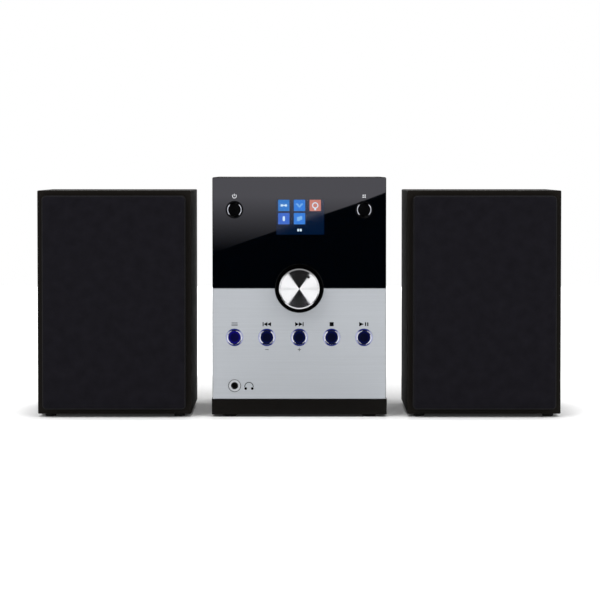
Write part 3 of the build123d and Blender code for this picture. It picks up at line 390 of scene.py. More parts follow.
@dataclass(frozen=True)
class BrushedMetal(Finish):
    """Metal brushed along X: long streaks in its colour, gloss and height.

    Attributes:
        metal: How metallic it reads, where an anodised coat scatters some of the light.
        streak: Width of the finest streak, in metres.
        contrast: How strongly the streaks show in the colour.
    """

    metal: float = 0.5
    streak: float = 0.22 * MM
    contrast: float = 0.07

    def body(self, graph: Graph) -> Sockets:
        """Two layers of noise, drawn out 200 and 90 times along X."""
        fine = graph.noise(self.streak, 2.0, (200.0, 1.0, 1.0))
        broad = graph.noise(self.streak * 7, 1.0, (90.0, 1.0, 1.0))
        streaks = fine * 0.6 + broad * 0.4
        colour = self.mottled(streaks, 1 - self.contrast, 1 + self.contrast)
        roughness = self.roughness - 0.06 + streaks * 0.12
        sockets = self.plain(colour, roughness, graph.bump(streaks, 0.008 * MM))
        return sockets | {"Metallic": self.metal}


@dataclass(frozen=True)
class BrightMetal(Finish):
    """Plated, ground or pressed metal, with faint stains and fine scratches.

    Attributes:
        stain: Size of the stains or of the zinc's flowers, in metres.
        contrast: How strongly they show.
    """

    stain: float = 3 * MM
    contrast: float = 0.1

    def body(self, graph: Graph) -> Sockets:
        """Cells give each flower of the plating its own shade."""
        shade = graph.node("RGBToBW", inputs={0: graph.cells(self.stain, "Color")})
        colour = self.mottled(shade, 1 - self.contrast, 1 + self.contrast)
        normal = graph.bump(graph.noise(0.5 * MM, 3.0), 0.002 * MM)
        return self.plain(colour, self.roughness + shade * 0.08, normal) | {"Metallic": 1.0}


@dataclass(frozen=True)
class TurnedMetal(Finish):
    """The knob: bright metal whose face is turned on a lathe, with a dark painted dimple.

    The lathe leaves rings, each a shallow V groove. A groove's walls tilt the surface in and out
    along the radius, so the face spreads a reflection along the radius alone, as turned metal
    does.

    Attributes:
        axis: Where the knob's axis meets its face, in x and z.
        face_y: The face, in y.
        face_radius: The turned part's radius.
        ring: Distance from ring to ring.
        shallow: The least slope of a groove's wall.
        steep: The greatest slope of a groove's wall.
        dimple: The painted dimple's place, in x and z.
        dimple_radius: Its radius.
        paint: Its colour.
    """

    axis: Spot = (0.0, 0.0)
    face_y: float = 0.0
    face_radius: float = 15 * MM
    ring: float = 0.24 * MM
    shallow: float = 0.07
    steep: float = 0.33
    dimple: Spot = (0.0, 0.0)
    dimple_radius: float = 1.4 * MM
    paint: Colour = (0.003, 0.003, 0.003, 1.0)

    def body(self, graph: Graph) -> Sockets:
        """Normal = the face's own, leaned by a slope that runs from wall to wall of a groove."""
        x, y, z = graph.parts()
        point = Polar.of(x - self.axis[0], z - self.axis[1])
        wall = (point.radius / self.ring).wrapped(-1.0, 1.0)
        slope = wall * (self.steep - self.shallow) + wall.sign() * self.shallow
        painted = distance_from(x, z, self.dimple) < self.dimple_radius
        face = (y < self.face_y + SKIN) * (point.radius < self.face_radius) * (1 - painted)
        rings = graph.noise(0.5 * MM, 3.0, on=graph.joined(point.radius, 0.0, 0.0))
        bright = self.mottled(rings * 0.7 + graph.noise(6 * MM) * 0.3, 0.86, 1.08)
        colour = graph.blend(painted, bright, self.paint)
        sockets = self.plain(colour, self.roughness, point.leaned(slope, face))
        return sockets | {"Metallic": 1 - painted}


@dataclass(frozen=True)
class RoundedRim(Finish):
    """The dish round the knob: matt black inside, with a polished rim that is rounded outwards.

    Attributes:
        axis: The dish's axis, in x and z.
        rim: The rim's inner and outer radius.
        lean: The slope of the rim at its outer edge.
        front_y: The rim's face, in y.
    """

    axis: Spot = (0.0, 0.0)
    rim: Spot = (0.0, 0.0)
    lean: float = 0.6
    front_y: float = 0.0

    def body(self, graph: Graph) -> Sockets:
        """Normal = leaned outwards over the rim, and coat = on the rim alone."""
        x, y, z = graph.parts()
        point = Polar.of(x - self.axis[0], z - self.axis[1])
        slope = (point.radius - self.rim[0]) * (self.lean / (self.rim[1] - self.rim[0]))
        rim = (point.radius > self.rim[0]) * (y < self.front_y + SKIN)
        roughness = 0.9 - rim * (0.9 - self.roughness)
        colour = self.mottled(graph.noise(4 * MM), 1.0, 3.0)
        sockets = self.plain(colour, roughness, point.leaned(slope, rim))
        polish = {"Specular IOR Level": 0.03, "Coat Weight": rim, "Coat Roughness": 0.08}
        return sockets | polish


@dataclass(frozen=True)
class AroundButtons(Finish):
    """A finish that goes round each button: it knows where the nearest button's axis is.

    Attributes:
        pitch: Distance from button to button along a row.
        rows: Height of the lower row and of the upper row.
    """

    pitch: float = 27 * MM
    rows: Spot = (0.0, 0.0)

    def polar(self, graph: Graph) -> tuple[Polar, Value]:
        """Where a point lies about the axis of the nearest button of its row.

        Args:
            graph: The graph to work it out in.

        Returns:
            The point as seen from that axis, and 1 on the upper row.
        """
        x, _, z = graph.parts()
        upper = z > sum(self.rows) / 2
        across = x - (x / self.pitch).rounded() * self.pitch
        up = z - self.rows[0] - upper * (self.rows[1] - self.rows[0])
        return Polar.of(across, up), upper


@dataclass(frozen=True)
class RoundedChrome(AroundButtons):
    """Chrome rings, polished until their narrow face is round.

    On the upper row the chrome is painted dark, as painted shade, everywhere but at the two sides
    of the crown and of what lies inside it.

    Attributes:
        edges: The ring's inner radius, its crown's two radii and its outer radius.
        leans: The slope of the face at its inner edge, at its crown and at its outer edge.
        dark: The colour of the painted shade on the upper row.
    """

    edges: tuple[float, float, float, float] = (0.0, 0.0, 0.0, 0.0)
    leans: Place = (0.42, 0.06, 0.62)
    dark: Colour = (0.01, 0.01, 0.01, 1.0)

    def body(self, graph: Graph) -> Sockets:
        """Normal = leaned inwards by a slope inside the crown, and outwards outside it."""
        point, upper = self.polar(graph)
        radius = point.radius
        inner, crown, crown_end, outer = self.edges
        fall = (self.leans[0] - self.leans[1]) / (crown_end - inner)
        inwards = (radius - inner) * fall - self.leans[0]
        growth = (self.leans[2] - self.leans[1]) / (outer - crown)
        outwards = (radius - crown) * growth + self.leans[1]
        inside = radius < (crown + crown_end) / 2
        slope = inwards * inside + outwards * (1 - inside)
        bright = self.mottled(graph.noise(1.5 * MM), 0.92, 1.05)
        # painted shade: the upper row's chrome is darkened everywhere but at the two sides of its
        # crown
        beside = (abs(point.across) / radius).clipped(0.6, 0.78)
        dull = upper * (1 - beside * (radius < crown_end + 0.1 * MM))
        colour = graph.blend(dull, bright, self.dark)
        return self.plain(colour, self.roughness, point.leaned(slope)) | {"Metallic": 1.0}


@dataclass(frozen=True)
class LightGuide(AroundButtons):
    """Clear rings round the buttons: the lower row glows, with a painted highlight at each side.

    Attributes:
        light: The light of a lit ring above and under its button.
        bright: The painted highlight at the two sides, a whitish glow in place of a reflection.
    """

    light: Colour = BLACK
    bright: Colour = BLACK

    def body(self, graph: Graph) -> Sockets:
        """The glow turns from its light to the painted highlight as a point lies further to the
        side.
        """
        point, upper = self.polar(graph)
        # painted highlight: the lit ring turns whitish at the two sides of each button
        beside = (abs(point.across) / point.radius).clipped(0.5, 0.9)
        glow = graph.blend(beside, self.light, self.bright)
        glow = graph.blend(graph.noise(2 * MM) * 0.4 + 0.6, BLACK, glow)
        return self.lit(self.plain(self.colour, self.roughness), upper, glow, BLACK)


@dataclass(frozen=True)
class LitCap(AroundButtons):
    """A button's cap: dark plastic that takes up some light at its rim.

    Attributes:
        light: The light at the rim.
        rim: The radius at which the light starts, and that at which it is full.
    """

    light: Colour = BLACK
    rim: Spot = (0.0, 0.0)

    def body(self, graph: Graph) -> Sockets:
        """The light rises with the distance from the button's axis."""
        radius = self.polar(graph)[0].radius
        share = radius.clipped(*self.rim) * (graph.noise(2 * MM) * 0.5 + 0.75)
        normal = graph.bump(graph.noise(0.4 * MM, 3.0), 0.003 * MM)
        sockets = self.plain(self.mottled(graph.noise(3 * MM), 0.8), self.roughness, normal)
        return self.lit(sockets, share, scaled(self.light, 0.25), self.light)


@dataclass(frozen=True)
class Vinyl(Finish):
    """Black wood-grain vinyl wrapped round fibreboard: pores of some width in metres, along Z."""

    pore: float = 0.5 * MM

    def body(self, graph: Graph) -> Sockets:
        """Noise drawn out 40 times along Z for pores, and a slower one for growth lines."""
        pores = graph.noise(self.pore, 3.0, (1.0, 1.0, 40.0))
        grain = pores * 0.6 + graph.noise(6 * MM, 2.0, (1.0, 1.0, 14.0)) * 0.4
        roughness = self.roughness - 0.08 + grain * 0.16
        return self.plain(self.mottled(grain, 0.6, 1.4), roughness, graph.bump(grain, 0.05 * MM))


@dataclass(frozen=True)
class Knit(Finish):
    """Knitted polyester: columns of small loops, laid out on the cloth's own flat map.

    Attributes:
        column: Width of a column of loops, in metres.
        row: Height of a row of loops, in metres.
        depth: How far the loops stand up.
    """

    column: float = 0.72 * MM
    row: float = 0.6 * MM
    depth: float = 0.12 * MM

    def body(self, graph: Graph) -> Sockets:
        """Height = a hump across each column times a hump along it that leans as a V."""
        flat = graph.node("TexCoord", output="UV")
        u, v, _ = graph.parts(flat)
        across = (u * (2 * pi / self.column)).cosine()
        along = (v * (2 * pi / self.row) + abs(across) * 1.2).cosine()
        loops = (across * 0.5 + 0.5) * (along * 0.4 + 0.6)
        height = loops * 0.8 + graph.noise(0.2 * MM, 2.0, on=flat) * 0.2
        blots = graph.noise(9 * MM, 3.0, on=flat) * 0.6 + loops * 0.4
        normal = graph.bump(height, self.depth)
        sockets = self.plain(self.mottled(blots, 0.4, 1.6), self.roughness, normal)
        return sockets | {"Sheen Weight": 0.02, "Sheen Roughness": 0.5}


@dataclass(frozen=True)
class Pulp(Finish):
    """Pressed paper pulp: short fibres laid round the cone, and a faint pressed ring pattern.

    Attributes:
        axis: The cone's axis, in x and z.
        rib: Distance between pressed rings, in metres.
    """

    axis: Spot = (0.0, 0.0)
    rib: float = 3.2 * MM

    def body(self, graph: Graph) -> Sockets:
        """Rings are a sine of the radius, and fibres are fine noise."""
        x, _, z = graph.parts()
        turns = distance_from(x, z, self.axis) * (2 * pi / self.rib)
        fibres = graph.noise(0.8 * MM, 4.0)
        height = (turns.sine() * 0.5 + 0.5) * 0.5 + fibres * 0.5
        normal = graph.bump(height, 0.12 * MM)
        return self.plain(self.mottled(fibres, 0.6, 1.4), self.roughness, normal)


@dataclass(frozen=True)
class Board(Finish):
    """A circuit board: green lacquer over copper tracks, and dark bodies of what stands on it.

    Attributes:
        lacquer_top: The board's upper face, above which the parts on it start.
        upright: Whether the board stands up, with its parts in front of and behind it.
        parts_colour: The colour of the parts on it.
    """

    lacquer_top: float = 0.0
    upright: bool = False
    parts_colour: Colour = (0.02, 0.02, 0.02, 1.0)

    def body(self, graph: Graph) -> Sockets:
        """Cells with straight sides make the tracks, and height tells parts from board."""
        tracks = (graph.cells(4 * MM, distance="MANHATTAN") * 14.0).sine() > 0.35
        _, y, z = graph.parts()
        above = y < self.lacquer_top if self.upright else z > self.lacquer_top
        dull = scaled(self.parts_colour, 0.8)
        parts = graph.blend(graph.noise(3 * MM), dull, self.parts_colour)
        colour = graph.blend(above, self.mottled(tracks, 0.75, 1.35), parts)
        return self.plain(colour, self.roughness + above * 0.2, graph.bump(tracks, 0.03 * MM, 0.6))


@dataclass(frozen=True)
class Acrylic(Finish):
    """Polished black acrylic with a clear window over the display.

    Attributes:
        window_middle: The clear window's middle, in x and z.
        window_half: Half its width and half its height.
    """

    window_middle: Spot = (0.0, 0.0)
    window_half: Spot = (0.0, 0.0)

    def body(self, graph: Graph) -> Sockets:
        """The back paint is left off inside a rectangle, where Alpha is nearly 0."""
        x, _, z = graph.parts()
        middle, half = self.window_middle, self.window_half
        clear = within(x, middle[0], half[0]) * within(z, middle[1], half[1])
        smears = graph.noise(30 * MM, 3.0)
        normal = graph.bump(graph.noise(40 * MM, 0.0), 0.02 * MM)
        colour, roughness = self.mottled(smears, 1.0, 1.5), self.roughness + smears * 0.008
        return self.plain(colour, roughness, normal) | {"Alpha": 1 - clear * 0.97}


@dataclass(frozen=True)
class Screen(Finish):
    """The display: a black frame round a lit navy picture behind clear glass.

    Attributes:
        middle: The picture's middle, in x and z.
        half: Half its width and half its height.
        light: The colour that the lit picture gives off.
        rim: How far back, in y, the picture may lie, because the border and legs give no light.
    """

    middle: Spot = (0.0, 0.0)
    half: Spot = (0.0, 0.0)
    light: Colour = BLACK
    rim: float = 0.0

    def body(self, graph: Graph) -> Sockets:
        """Light comes only from the rectangle of the picture, unevenly as a backlight does."""
        x, y, z = graph.parts()
        inside = within(x, self.middle[0], self.half[0])
        inside = inside * within(z, self.middle[1], self.half[1]) * (y < self.rim)
        glow = graph.blend(inside, BLACK, self.light)
        sockets = self.plain(self.colour, 0.5 - inside * (0.5 - self.roughness))
        return self.lit(sockets, graph.noise(18 * MM) * 0.3 + 0.85, BLACK, glow)


@dataclass(frozen=True)
class SocketMoulding(Moulding):
    """A black moulded socket with a plated nose round its mouth.

    Attributes:
        axis: The mouth's axis, in x and z.
        nose: The plated ring's inner and outer radius.
        groove: The radius from which the plated ring is in shade.
        nose_front: How far in y the plating reaches, from -Y.
        plating: The plating's colour.
    """

    axis: Spot = (0.0, 0.0)
    nose: Spot = (0.0, 0.0)
    groove: float = 0.0
    nose_front: float = 0.0
    plating: Colour = (0.6, 0.6, 0.6, 1.0)

    def body(self, graph: Graph) -> Sockets:
        """Plated where the radius lies between two limits and y is far enough forward."""
        sockets = super().body(graph)
        x, y, z = graph.parts()
        radius = distance_from(x, z, self.axis)
        plated = (radius > self.nose[0]) * (radius < self.nose[1]) * (y < self.nose_front)
        # painted shade: the plating is darkened to 0.22 of itself past the groove radius
        shade = graph.blend(radius > self.groove, self.plating, scaled(self.plating, 0.22))
        colour = graph.blend(plated, sockets["Base Color"], shade)
        roughness = self.roughness - plated * (self.roughness - 0.3)
        return sockets | {"Base Color": colour, "Metallic": plated * 0.3, "Roughness": roughness}


@dataclass(frozen=True)
class Ink(Finish):
    """Screen-printed ink: a flat film, a little uneven in its cover."""

    def body(self, graph: Graph) -> Sockets:
        """Noise thins the film here and there."""
        cover = graph.noise(0.5 * MM, 3.0)
        return self.plain(self.mottled(cover, 0.85), self.roughness, graph.bump(cover, 0.004 * MM))


@dataclass(frozen=True)
class Lit(Finish):
    """A lit part of the display's picture, with dots of some pitch in metres."""

    dot: float = 0.2 * MM

    def body(self, graph: Graph) -> Sockets:
        """Its own colour as light, with the faint grid that a display's dots leave."""
        x, _, z = graph.parts()
        across, up = ((part * (2 * pi / self.dot)).sine() for part in (x, z))
        sockets = self.plain(scaled(self.colour, 0.1), self.roughness)
        return self.lit(sockets, (across + up) * 0.06 + 0.88, BLACK, self.colour)


@dataclass(frozen=True)
class Lens(Moulding):
    """The laser sled: dark moulding with a coated glass lens in its top.

    Attributes:
        spot: The lens's place, in x and y.
        radius: Its radius.
        top: The height from which the lens starts.
        coating: The colour of its coating.
    """

    spot: Spot = (0.0, 0.0)
    radius: float = 0.0
    top: float = 0.0
    coating: Colour = (0.05, 0.05, 0.3, 1.0)

    def body(self, graph: Graph) -> Sockets:
        """Glass where the point is near the lens's axis and high enough."""
        sockets = super().body(graph)
        x, y, z = graph.parts()
        glass = (distance_from(x, y, self.spot) < self.radius) * (z > self.top)
        colour = graph.blend(glass, sockets["Base Color"], self.coating)
        roughness = self.roughness - glass * (self.roughness - 0.05)
        return sockets | {"Base Color": colour, "Roughness": roughness}


# --- Shapes as whole arrays ---------------------------------------------------------------------


@dataclass
class Shape:
    """Points, faces and a flat map, worked out as whole arrays.

    Attributes:
        points: One row of x, y and z for each point, in metres.
        faces: Each face as the numbers of its points.
        flat: Where each point lies on the uncut sheet, in metres, for cloth.
    """

    points: np.ndarray
    faces: list[Sequence[int]]
    flat: np.ndarray | None = None


def grid_shape(points: np.ndarray, flat: np.ndarray | None = None) -> Shape:
    """A surface from rows of points, each row a closed loop.

    Args:
        points: Rows by columns by 3.
        flat: Rows by columns by 2, if the surface is cloth.

    Returns:
        The surface, with a quad between each four neighbours and the last column joined to
        the first.
    """
    rows, columns = points.shape[:2]
    row, column = np.meshgrid(np.arange(rows - 1), np.arange(columns), indexing="ij")
    here, after = row * columns + column, row * columns + (column + 1) % columns
    quads = np.stack([here, after, after + columns, here + columns], axis=-1).reshape(-1, 4)
    spread = None if flat is None else flat.reshape(-1, 2)
    return Shape(points.reshape(-1, 3), quads.tolist(), spread)


def together(shapes: Sequence[Shape]) -> Shape:
    """Joins several shapes: each one's faces count on from the points before it.

    Args:
        shapes: The shapes.

    Returns:
        All of them as one.
    """
    starts = np.cumsum([0] + [len(shape.points) for shape in shapes]).tolist()
    faces = [
        [start + corner for corner in face]
        for start, shape in zip(starts, shapes)
        for face in shape.faces
    ]
    return Shape(np.concatenate([shape.points for shape in shapes]), faces)


def rays(angle: np.ndarray) -> np.ndarray:
    """A row of cosine and sine for each angle."""
    return np.stack([np.cos(angle), np.sin(angle)], 1)


def whole_turn(count: int) -> np.ndarray:
    """Evenly spaced angles all the way round."""
    return np.linspace(0, 2 * pi, count, endpoint=False)


def upright(outline: np.ndarray, middle: Spot, depth: np.ndarray | float) -> np.ndarray:
    """An outline as points in space: across and up from a middle in x and z, at a depth in y."""
    x, z = middle[0] + outline[:, 0], middle[1] + outline[:, 1]
    return np.stack([x, np.broadcast_to(depth, x.shape), z], 1)


def circle(radius: float, middle: Spot) -> np.ndarray:
    """A round outline: a ray of the radius at each of 24 angles."""
    return middle + radius * rays(whole_turn(24))


def rounded(width: float, height: float, corner: float, middle: Spot = (0.0, 0.0)) -> np.ndarray:
    """A rectangle with round corners, as an outline.

    Each corner is a quarter circle of 9 points, and the sides are what lies between them.

    Args:
        width: Its whole width.
        height: Its whole height.
        corner: The corners' radius.
        middle: Its middle.

    Returns:
        The outline, counter-clockwise.
    """
    quarter, half = np.linspace(0, pi / 2, 9), np.array((width / 2 - corner, height / 2 - corner))
    corners = [
        middle + half * signs + corner * rays(quarter + number * pi / 2)
        for number, signs in enumerate(((1, 1), (-1, 1), (-1, -1), (1, -1)))
    ]
    return np.concatenate(corners)


def arc_band(
    radius: float, width: float, start: float, sweep: float, middle: Spot = (0.0, 0.0)
) -> np.ndarray:
    """A band along an arc: out along its outer edge and back along its inner edge.

    Args:
        radius: The arc's middle radius.
        width: The band's width.
        start: Where it starts, in degrees from +X.
        sweep: How far it turns, in degrees.
        middle: The arc's centre.

    Returns:
        The outline.
    """
    edge = rays(np.radians(np.linspace(start, start + sweep, 33)))
    outer, inner = edge * (radius + width / 2), edge[::-1] * (radius - width / 2)
    return np.concatenate([outer, inner]) + middle


def turned(outline: np.ndarray, degrees: float) -> np.ndarray:
    """An outline turned counter-clockwise about its own middle."""
    angle = radians(degrees)
    return outline @ np.array([[cos(angle), sin(angle)], [-sin(angle), cos(angle)]])


def arrow(width: float, height: float, middle: Spot, pointing: float) -> np.ndarray:
    """A triangle that points along +X or -X."""
    across, up = pointing * width / 2, height / 2
    return np.array([[-across, -up], [across, 0.0], [-across, up]]) + middle


def plate(outline: np.ndarray, middle: Spot, face_y: float, rise: float, side: float) -> Shape:
    """A thin flat piece that stands on a face of the set.

    Its rim is the outline carried from just under the face to the rise above it, and the two
    ends are closed.

    Args:
        outline: Its outline, seen from in front, in metres.
        middle: Where its middle goes, in x and z.
        face_y: The face that it is on.
        rise: How far it stands up from there.
        side: FRONT_VIEW where the face looks to -Y, or REAR_VIEW.

    Returns:
        The closed piece.
    """
    sunk = 0.01 * MM
    seen = outline * (-side, 1.0)
    ends = [upright(seen, middle, face_y + side * depth) for depth in (-sunk, rise)]
    shape = grid_shape(np.stack(ends))
    count = len(outline)
    shape.faces += [list(range(count))[::-1], list(range(count, 2 * count))]
    return shape


def plates(
    outlines: Sequence[np.ndarray], middle: Spot, face_y: float, rise: float, side: float
) -> list[Shape]:
    """A plate for each of several outlines in millimetres about one middle."""
    return [plate(outline * MM, middle, face_y, rise, side) for outline in outlines]


def cross_reach(angle: np.ndarray, arm: float, half: float) -> np.ndarray:
    """How far a plain cross reaches at each angle.

    Along a ray, each bar of the cross ends at its end or at its side, whichever is nearer, and
    the cross is the longer of its two bars.

    Args:
        angle: The angles.
        arm: How far each arm reaches.
        half: Half an arm's width.

    Returns:
        The reach at each angle.
    """
    along, across = (np.abs(rays(angle)) + 1e-9).T
    level = np.minimum(arm / along, half / across)
    return np.maximum(level, np.minimum(arm / across, half / along))


def cross_outline(arm: float, half: float) -> np.ndarray:
    """A plain cross as an outline: its reach at 72 angles."""
    angle = whole_turn(72)
    return cross_reach(angle, arm, half)[:, None] * rays(angle)


def screw_head(middle: Spot, face_y: float, radius: float, height: float) -> Shape:
    """A round screw head with a cross recess, facing -Y.

    Loops run from the rim over the dome to the recess, whose edge is the reach of a cross, and
    down to its floor. The dome's height falls with the square of the distance from the axis.

    Args:
        middle: Its place, in x and z.
        face_y: The face that it bears on.
        radius: The head's radius.
        height: The head's height.

    Returns:
        The closed head.
    """
    angle = whole_turn(48)
    recess = cross_reach(angle, 0.56 * radius, 0.14 * radius)
    nought, rim = np.zeros_like(angle), np.full_like(angle, radius)
    over = [rim * share for share in (1.0, 0.93, 0.8, 0.66)] + [recess]
    loops = [(nought, nought), (rim, nought)]
    loops += [(reach, height * (1 - 0.65 * (reach / radius) ** 2)) for reach in over]
    loops += [(recess * 0.85, nought + 0.25 * height), (nought, nought + 0.2 * height)]
    edge = rays(angle)
    rows = [upright(reach[:, None] * edge, middle, face_y - rise) for reach, rise in loops]
    return grid_shape(np.stack(rows))


def make_piece(name: str, shape: Shape, finish: Finish, body: str) -> bpy.types.Object:
    """Makes a closed shape into a finished piece that moves with a body of the frame.

    Args:
        name: The piece's name.
        shape: Its surface.
        finish: What it is finished in.
        body: The body that it rides on.

    Returns:
        The new object.
    """
    mesh = bpy.data.meshes.new(name)
    mesh.from_pydata(shape.points.tolist(), [], shape.faces)
    if shape.flat is not None:
        layer = mesh.uv_layers.new(name="flat")
        corners = np.empty(len(mesh.loops), dtype=np.int32)
        mesh.loops.foreach_get("vertex_index", corners)
        layer.data.foreach_set("uv", shape.flat[corners].astype(np.float32).ravel())
    model = bmesh.new()
    model.from_mesh(mesh)
    bmesh.ops.remove_doubles(model, verts=model.verts, dist=0.002 * MM)
    bmesh.ops.recalc_face_normals(model, faces=model.faces)
    model.to_mesh(mesh)
    model.free()
    mesh.shade_smooth()
    mesh.set_sharp_from_angle(angle=SHARP_EDGE)
    mesh.materials.append(finish.material())
    piece = bpy.data.objects.new(name, mesh)
    bpy.context.scene.collection.objects.link(piece)
    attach(piece, body)
    log.info("piece %s on %s: %d faces", name, body, len(mesh.polygons))
    return piece


# --- Places in the frame ------------------------------------------------------------------------


@dataclass(frozen=True)
class Extent:
    """The box that a part of the frame fills, from its lowest to its highest corner."""

    low: Vector
    high: Vector

    @classmethod
    def of(cls, node: str) -> Extent:
        """The box of a node of the frame."""
        return cls(*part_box(node))

    @property
    def middle(self) -> Vector:
        """The middle of the box."""
        return (self.low + self.high) / 2

    @property
    def half(self) -> Vector:
        """Half its width, depth and height."""
        return (self.high - self.low) / 2

    @property
    def spot(self) -> Spot:
        """The middle in x and z, as seen from in front."""
        return (self.middle.x, self.middle.z)


def dress(finish: Finish, *nodes: str) -> None:
    """Gives parts of the frame a finish, slot by slot.

    Args:
        finish: The finish.
        *nodes: The parts' names.
    """
    for name in nodes:
        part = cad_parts[name]
        for place in part.material_slots:
            place.material = finish.material()
        if not part.material_slots:
            part.data.materials.append(finish.material())
        log.info("part %s: %s", name, finish.name)


# --- Drawings, in millimetres about their own middles -------------------------------------------


class Symbol(Enum):
    """The plain symbols that are printed on the set, each by its own name."""

    POWER = "power"
    MODE = "mode"
    MENU = "menu"
    PREVIOUS = "previous"
    NEXT = "next"
    STOP = "stop"
    PLAY = "play"
    MINUS = "minus"
    PLUS = "plus"
    HEADPHONES = "headphones"


BAR, BAR_X = rounded(0.8, 3.5, 0.1), 3.2
SYMBOLS: dict[Symbol, list[np.ndarray]] = {
    Symbol.POWER: [arc_band(1.6, 0.5, 125, 290), rounded(0.5, 1.9, 0.2, (0.0, 1.0))],
    Symbol.MODE: [rounded(1.0, 1.0, 0.1, (x, z)) for x in (-0.8, 0.8) for z in (-0.8, 0.8)],
    Symbol.MENU: [rounded(5.2, 0.5, 0.2, (0.0, z)) for z in (-1.1, 0.0, 1.1)],
    Symbol.PREVIOUS: [BAR - (BAR_X, 0.0)] + [arrow(3.2, 3.7, (x, 0.0), -1.0) for x in (-1.2, 1.9)],
    Symbol.NEXT: [BAR + (BAR_X, 0.0)] + [arrow(3.2, 3.7, (x, 0.0), 1.0) for x in (1.2, -1.9)],
    Symbol.STOP: [rounded(3.4, 3.4, 0.15)],
    Symbol.PLAY: [arrow(3.9, 3.8, (-2.1, 0.0), 1.0)]
    + [rounded(1.0, 3.1, 0.1, (x, 0.0)) for x in (1.25, 3.15)],
    Symbol.MINUS: [rounded(2.8, 0.5, 0.15)],
    Symbol.PLUS: [cross_outline(1.4, 0.25)],
    Symbol.HEADPHONES: [arc_band(3.5, 0.62, -8, 196, (0.0, -0.6))]
    + [circle(1.15, (x, -2.3)) for x in (-2.75, 2.75)],
}
WHITE_INK = Ink("white_ink", tone(225, 226, 230), 0.5)
BLACK_SCREWS = BrightMetal("black_zinc_screws", tone(70, 70, 72), 0.35, stain=1 * MM)
INK_RISE = 0.03 * MM


@dataclass(frozen=True)
class Tile:
    """A tile on the display, with a plain figure on it.

    Attributes:
        name: Its piece's name.
        column: Its column, from the left.
        row: Its row, from the top.
        colour: Its colour.
        soft: Whether its figure is drawn in the softer of two colours.
        figure: The figure's outlines.
    """

    name: str
    column: int
    row: int
    colour: Colour
    soft: bool
    figure: list[np.ndarray]


SKY = tone(40, 124, 222)
LINK = [rounded(1.9, 1.9, 0.5, (x, 0.0)) for x in (-1.7, 1.7)] + [rounded(3.0, 0.9, 0.1)]
LEAF = [turned(rounded(1.3, 2.9, 0.6), side * 48) + (side * -1.5, 0.55) for side in (-1, 1)]
LEAVES = [*LEAF, rounded(1.9, 1.2, 0.5, (0.0, -1.1))]
DISC = [arc_band(2.2, 0.85, start, 180) for start in (0, 180)]
DISC_ON_FOOT = [*DISC, rounded(1.5, 1.5, 0.2, (0.0, -3.2))]
PAGES = [rounded(2.4, 3.4, 0.4, (-0.9, -0.3)), rounded(2.2, 3.2, 0.4, (1.1, 0.5))]
LABEL = [rounded(1.7, 2.3, 0.8, (x, 0.0)) for x in (-1.05, 1.05)]
TILES = (
    Tile("first_tile", 0, 0, tone(44, 122, 205), False, LINK),
    Tile("second_tile", 1, 0, SKY, True, LEAVES),
    Tile("third_tile", 2, 0, tone(206, 128, 116), False, DISC_ON_FOOT),
    Tile("fourth_tile", 0, 1, tone(52, 104, 205), False, [rounded(1.9, 4.2, 0.94)]),
    Tile("fifth_tile", 1, 1, SKY, True, PAGES),
)


# --- Sub-assemblies -----------------------------------------------------------------------------


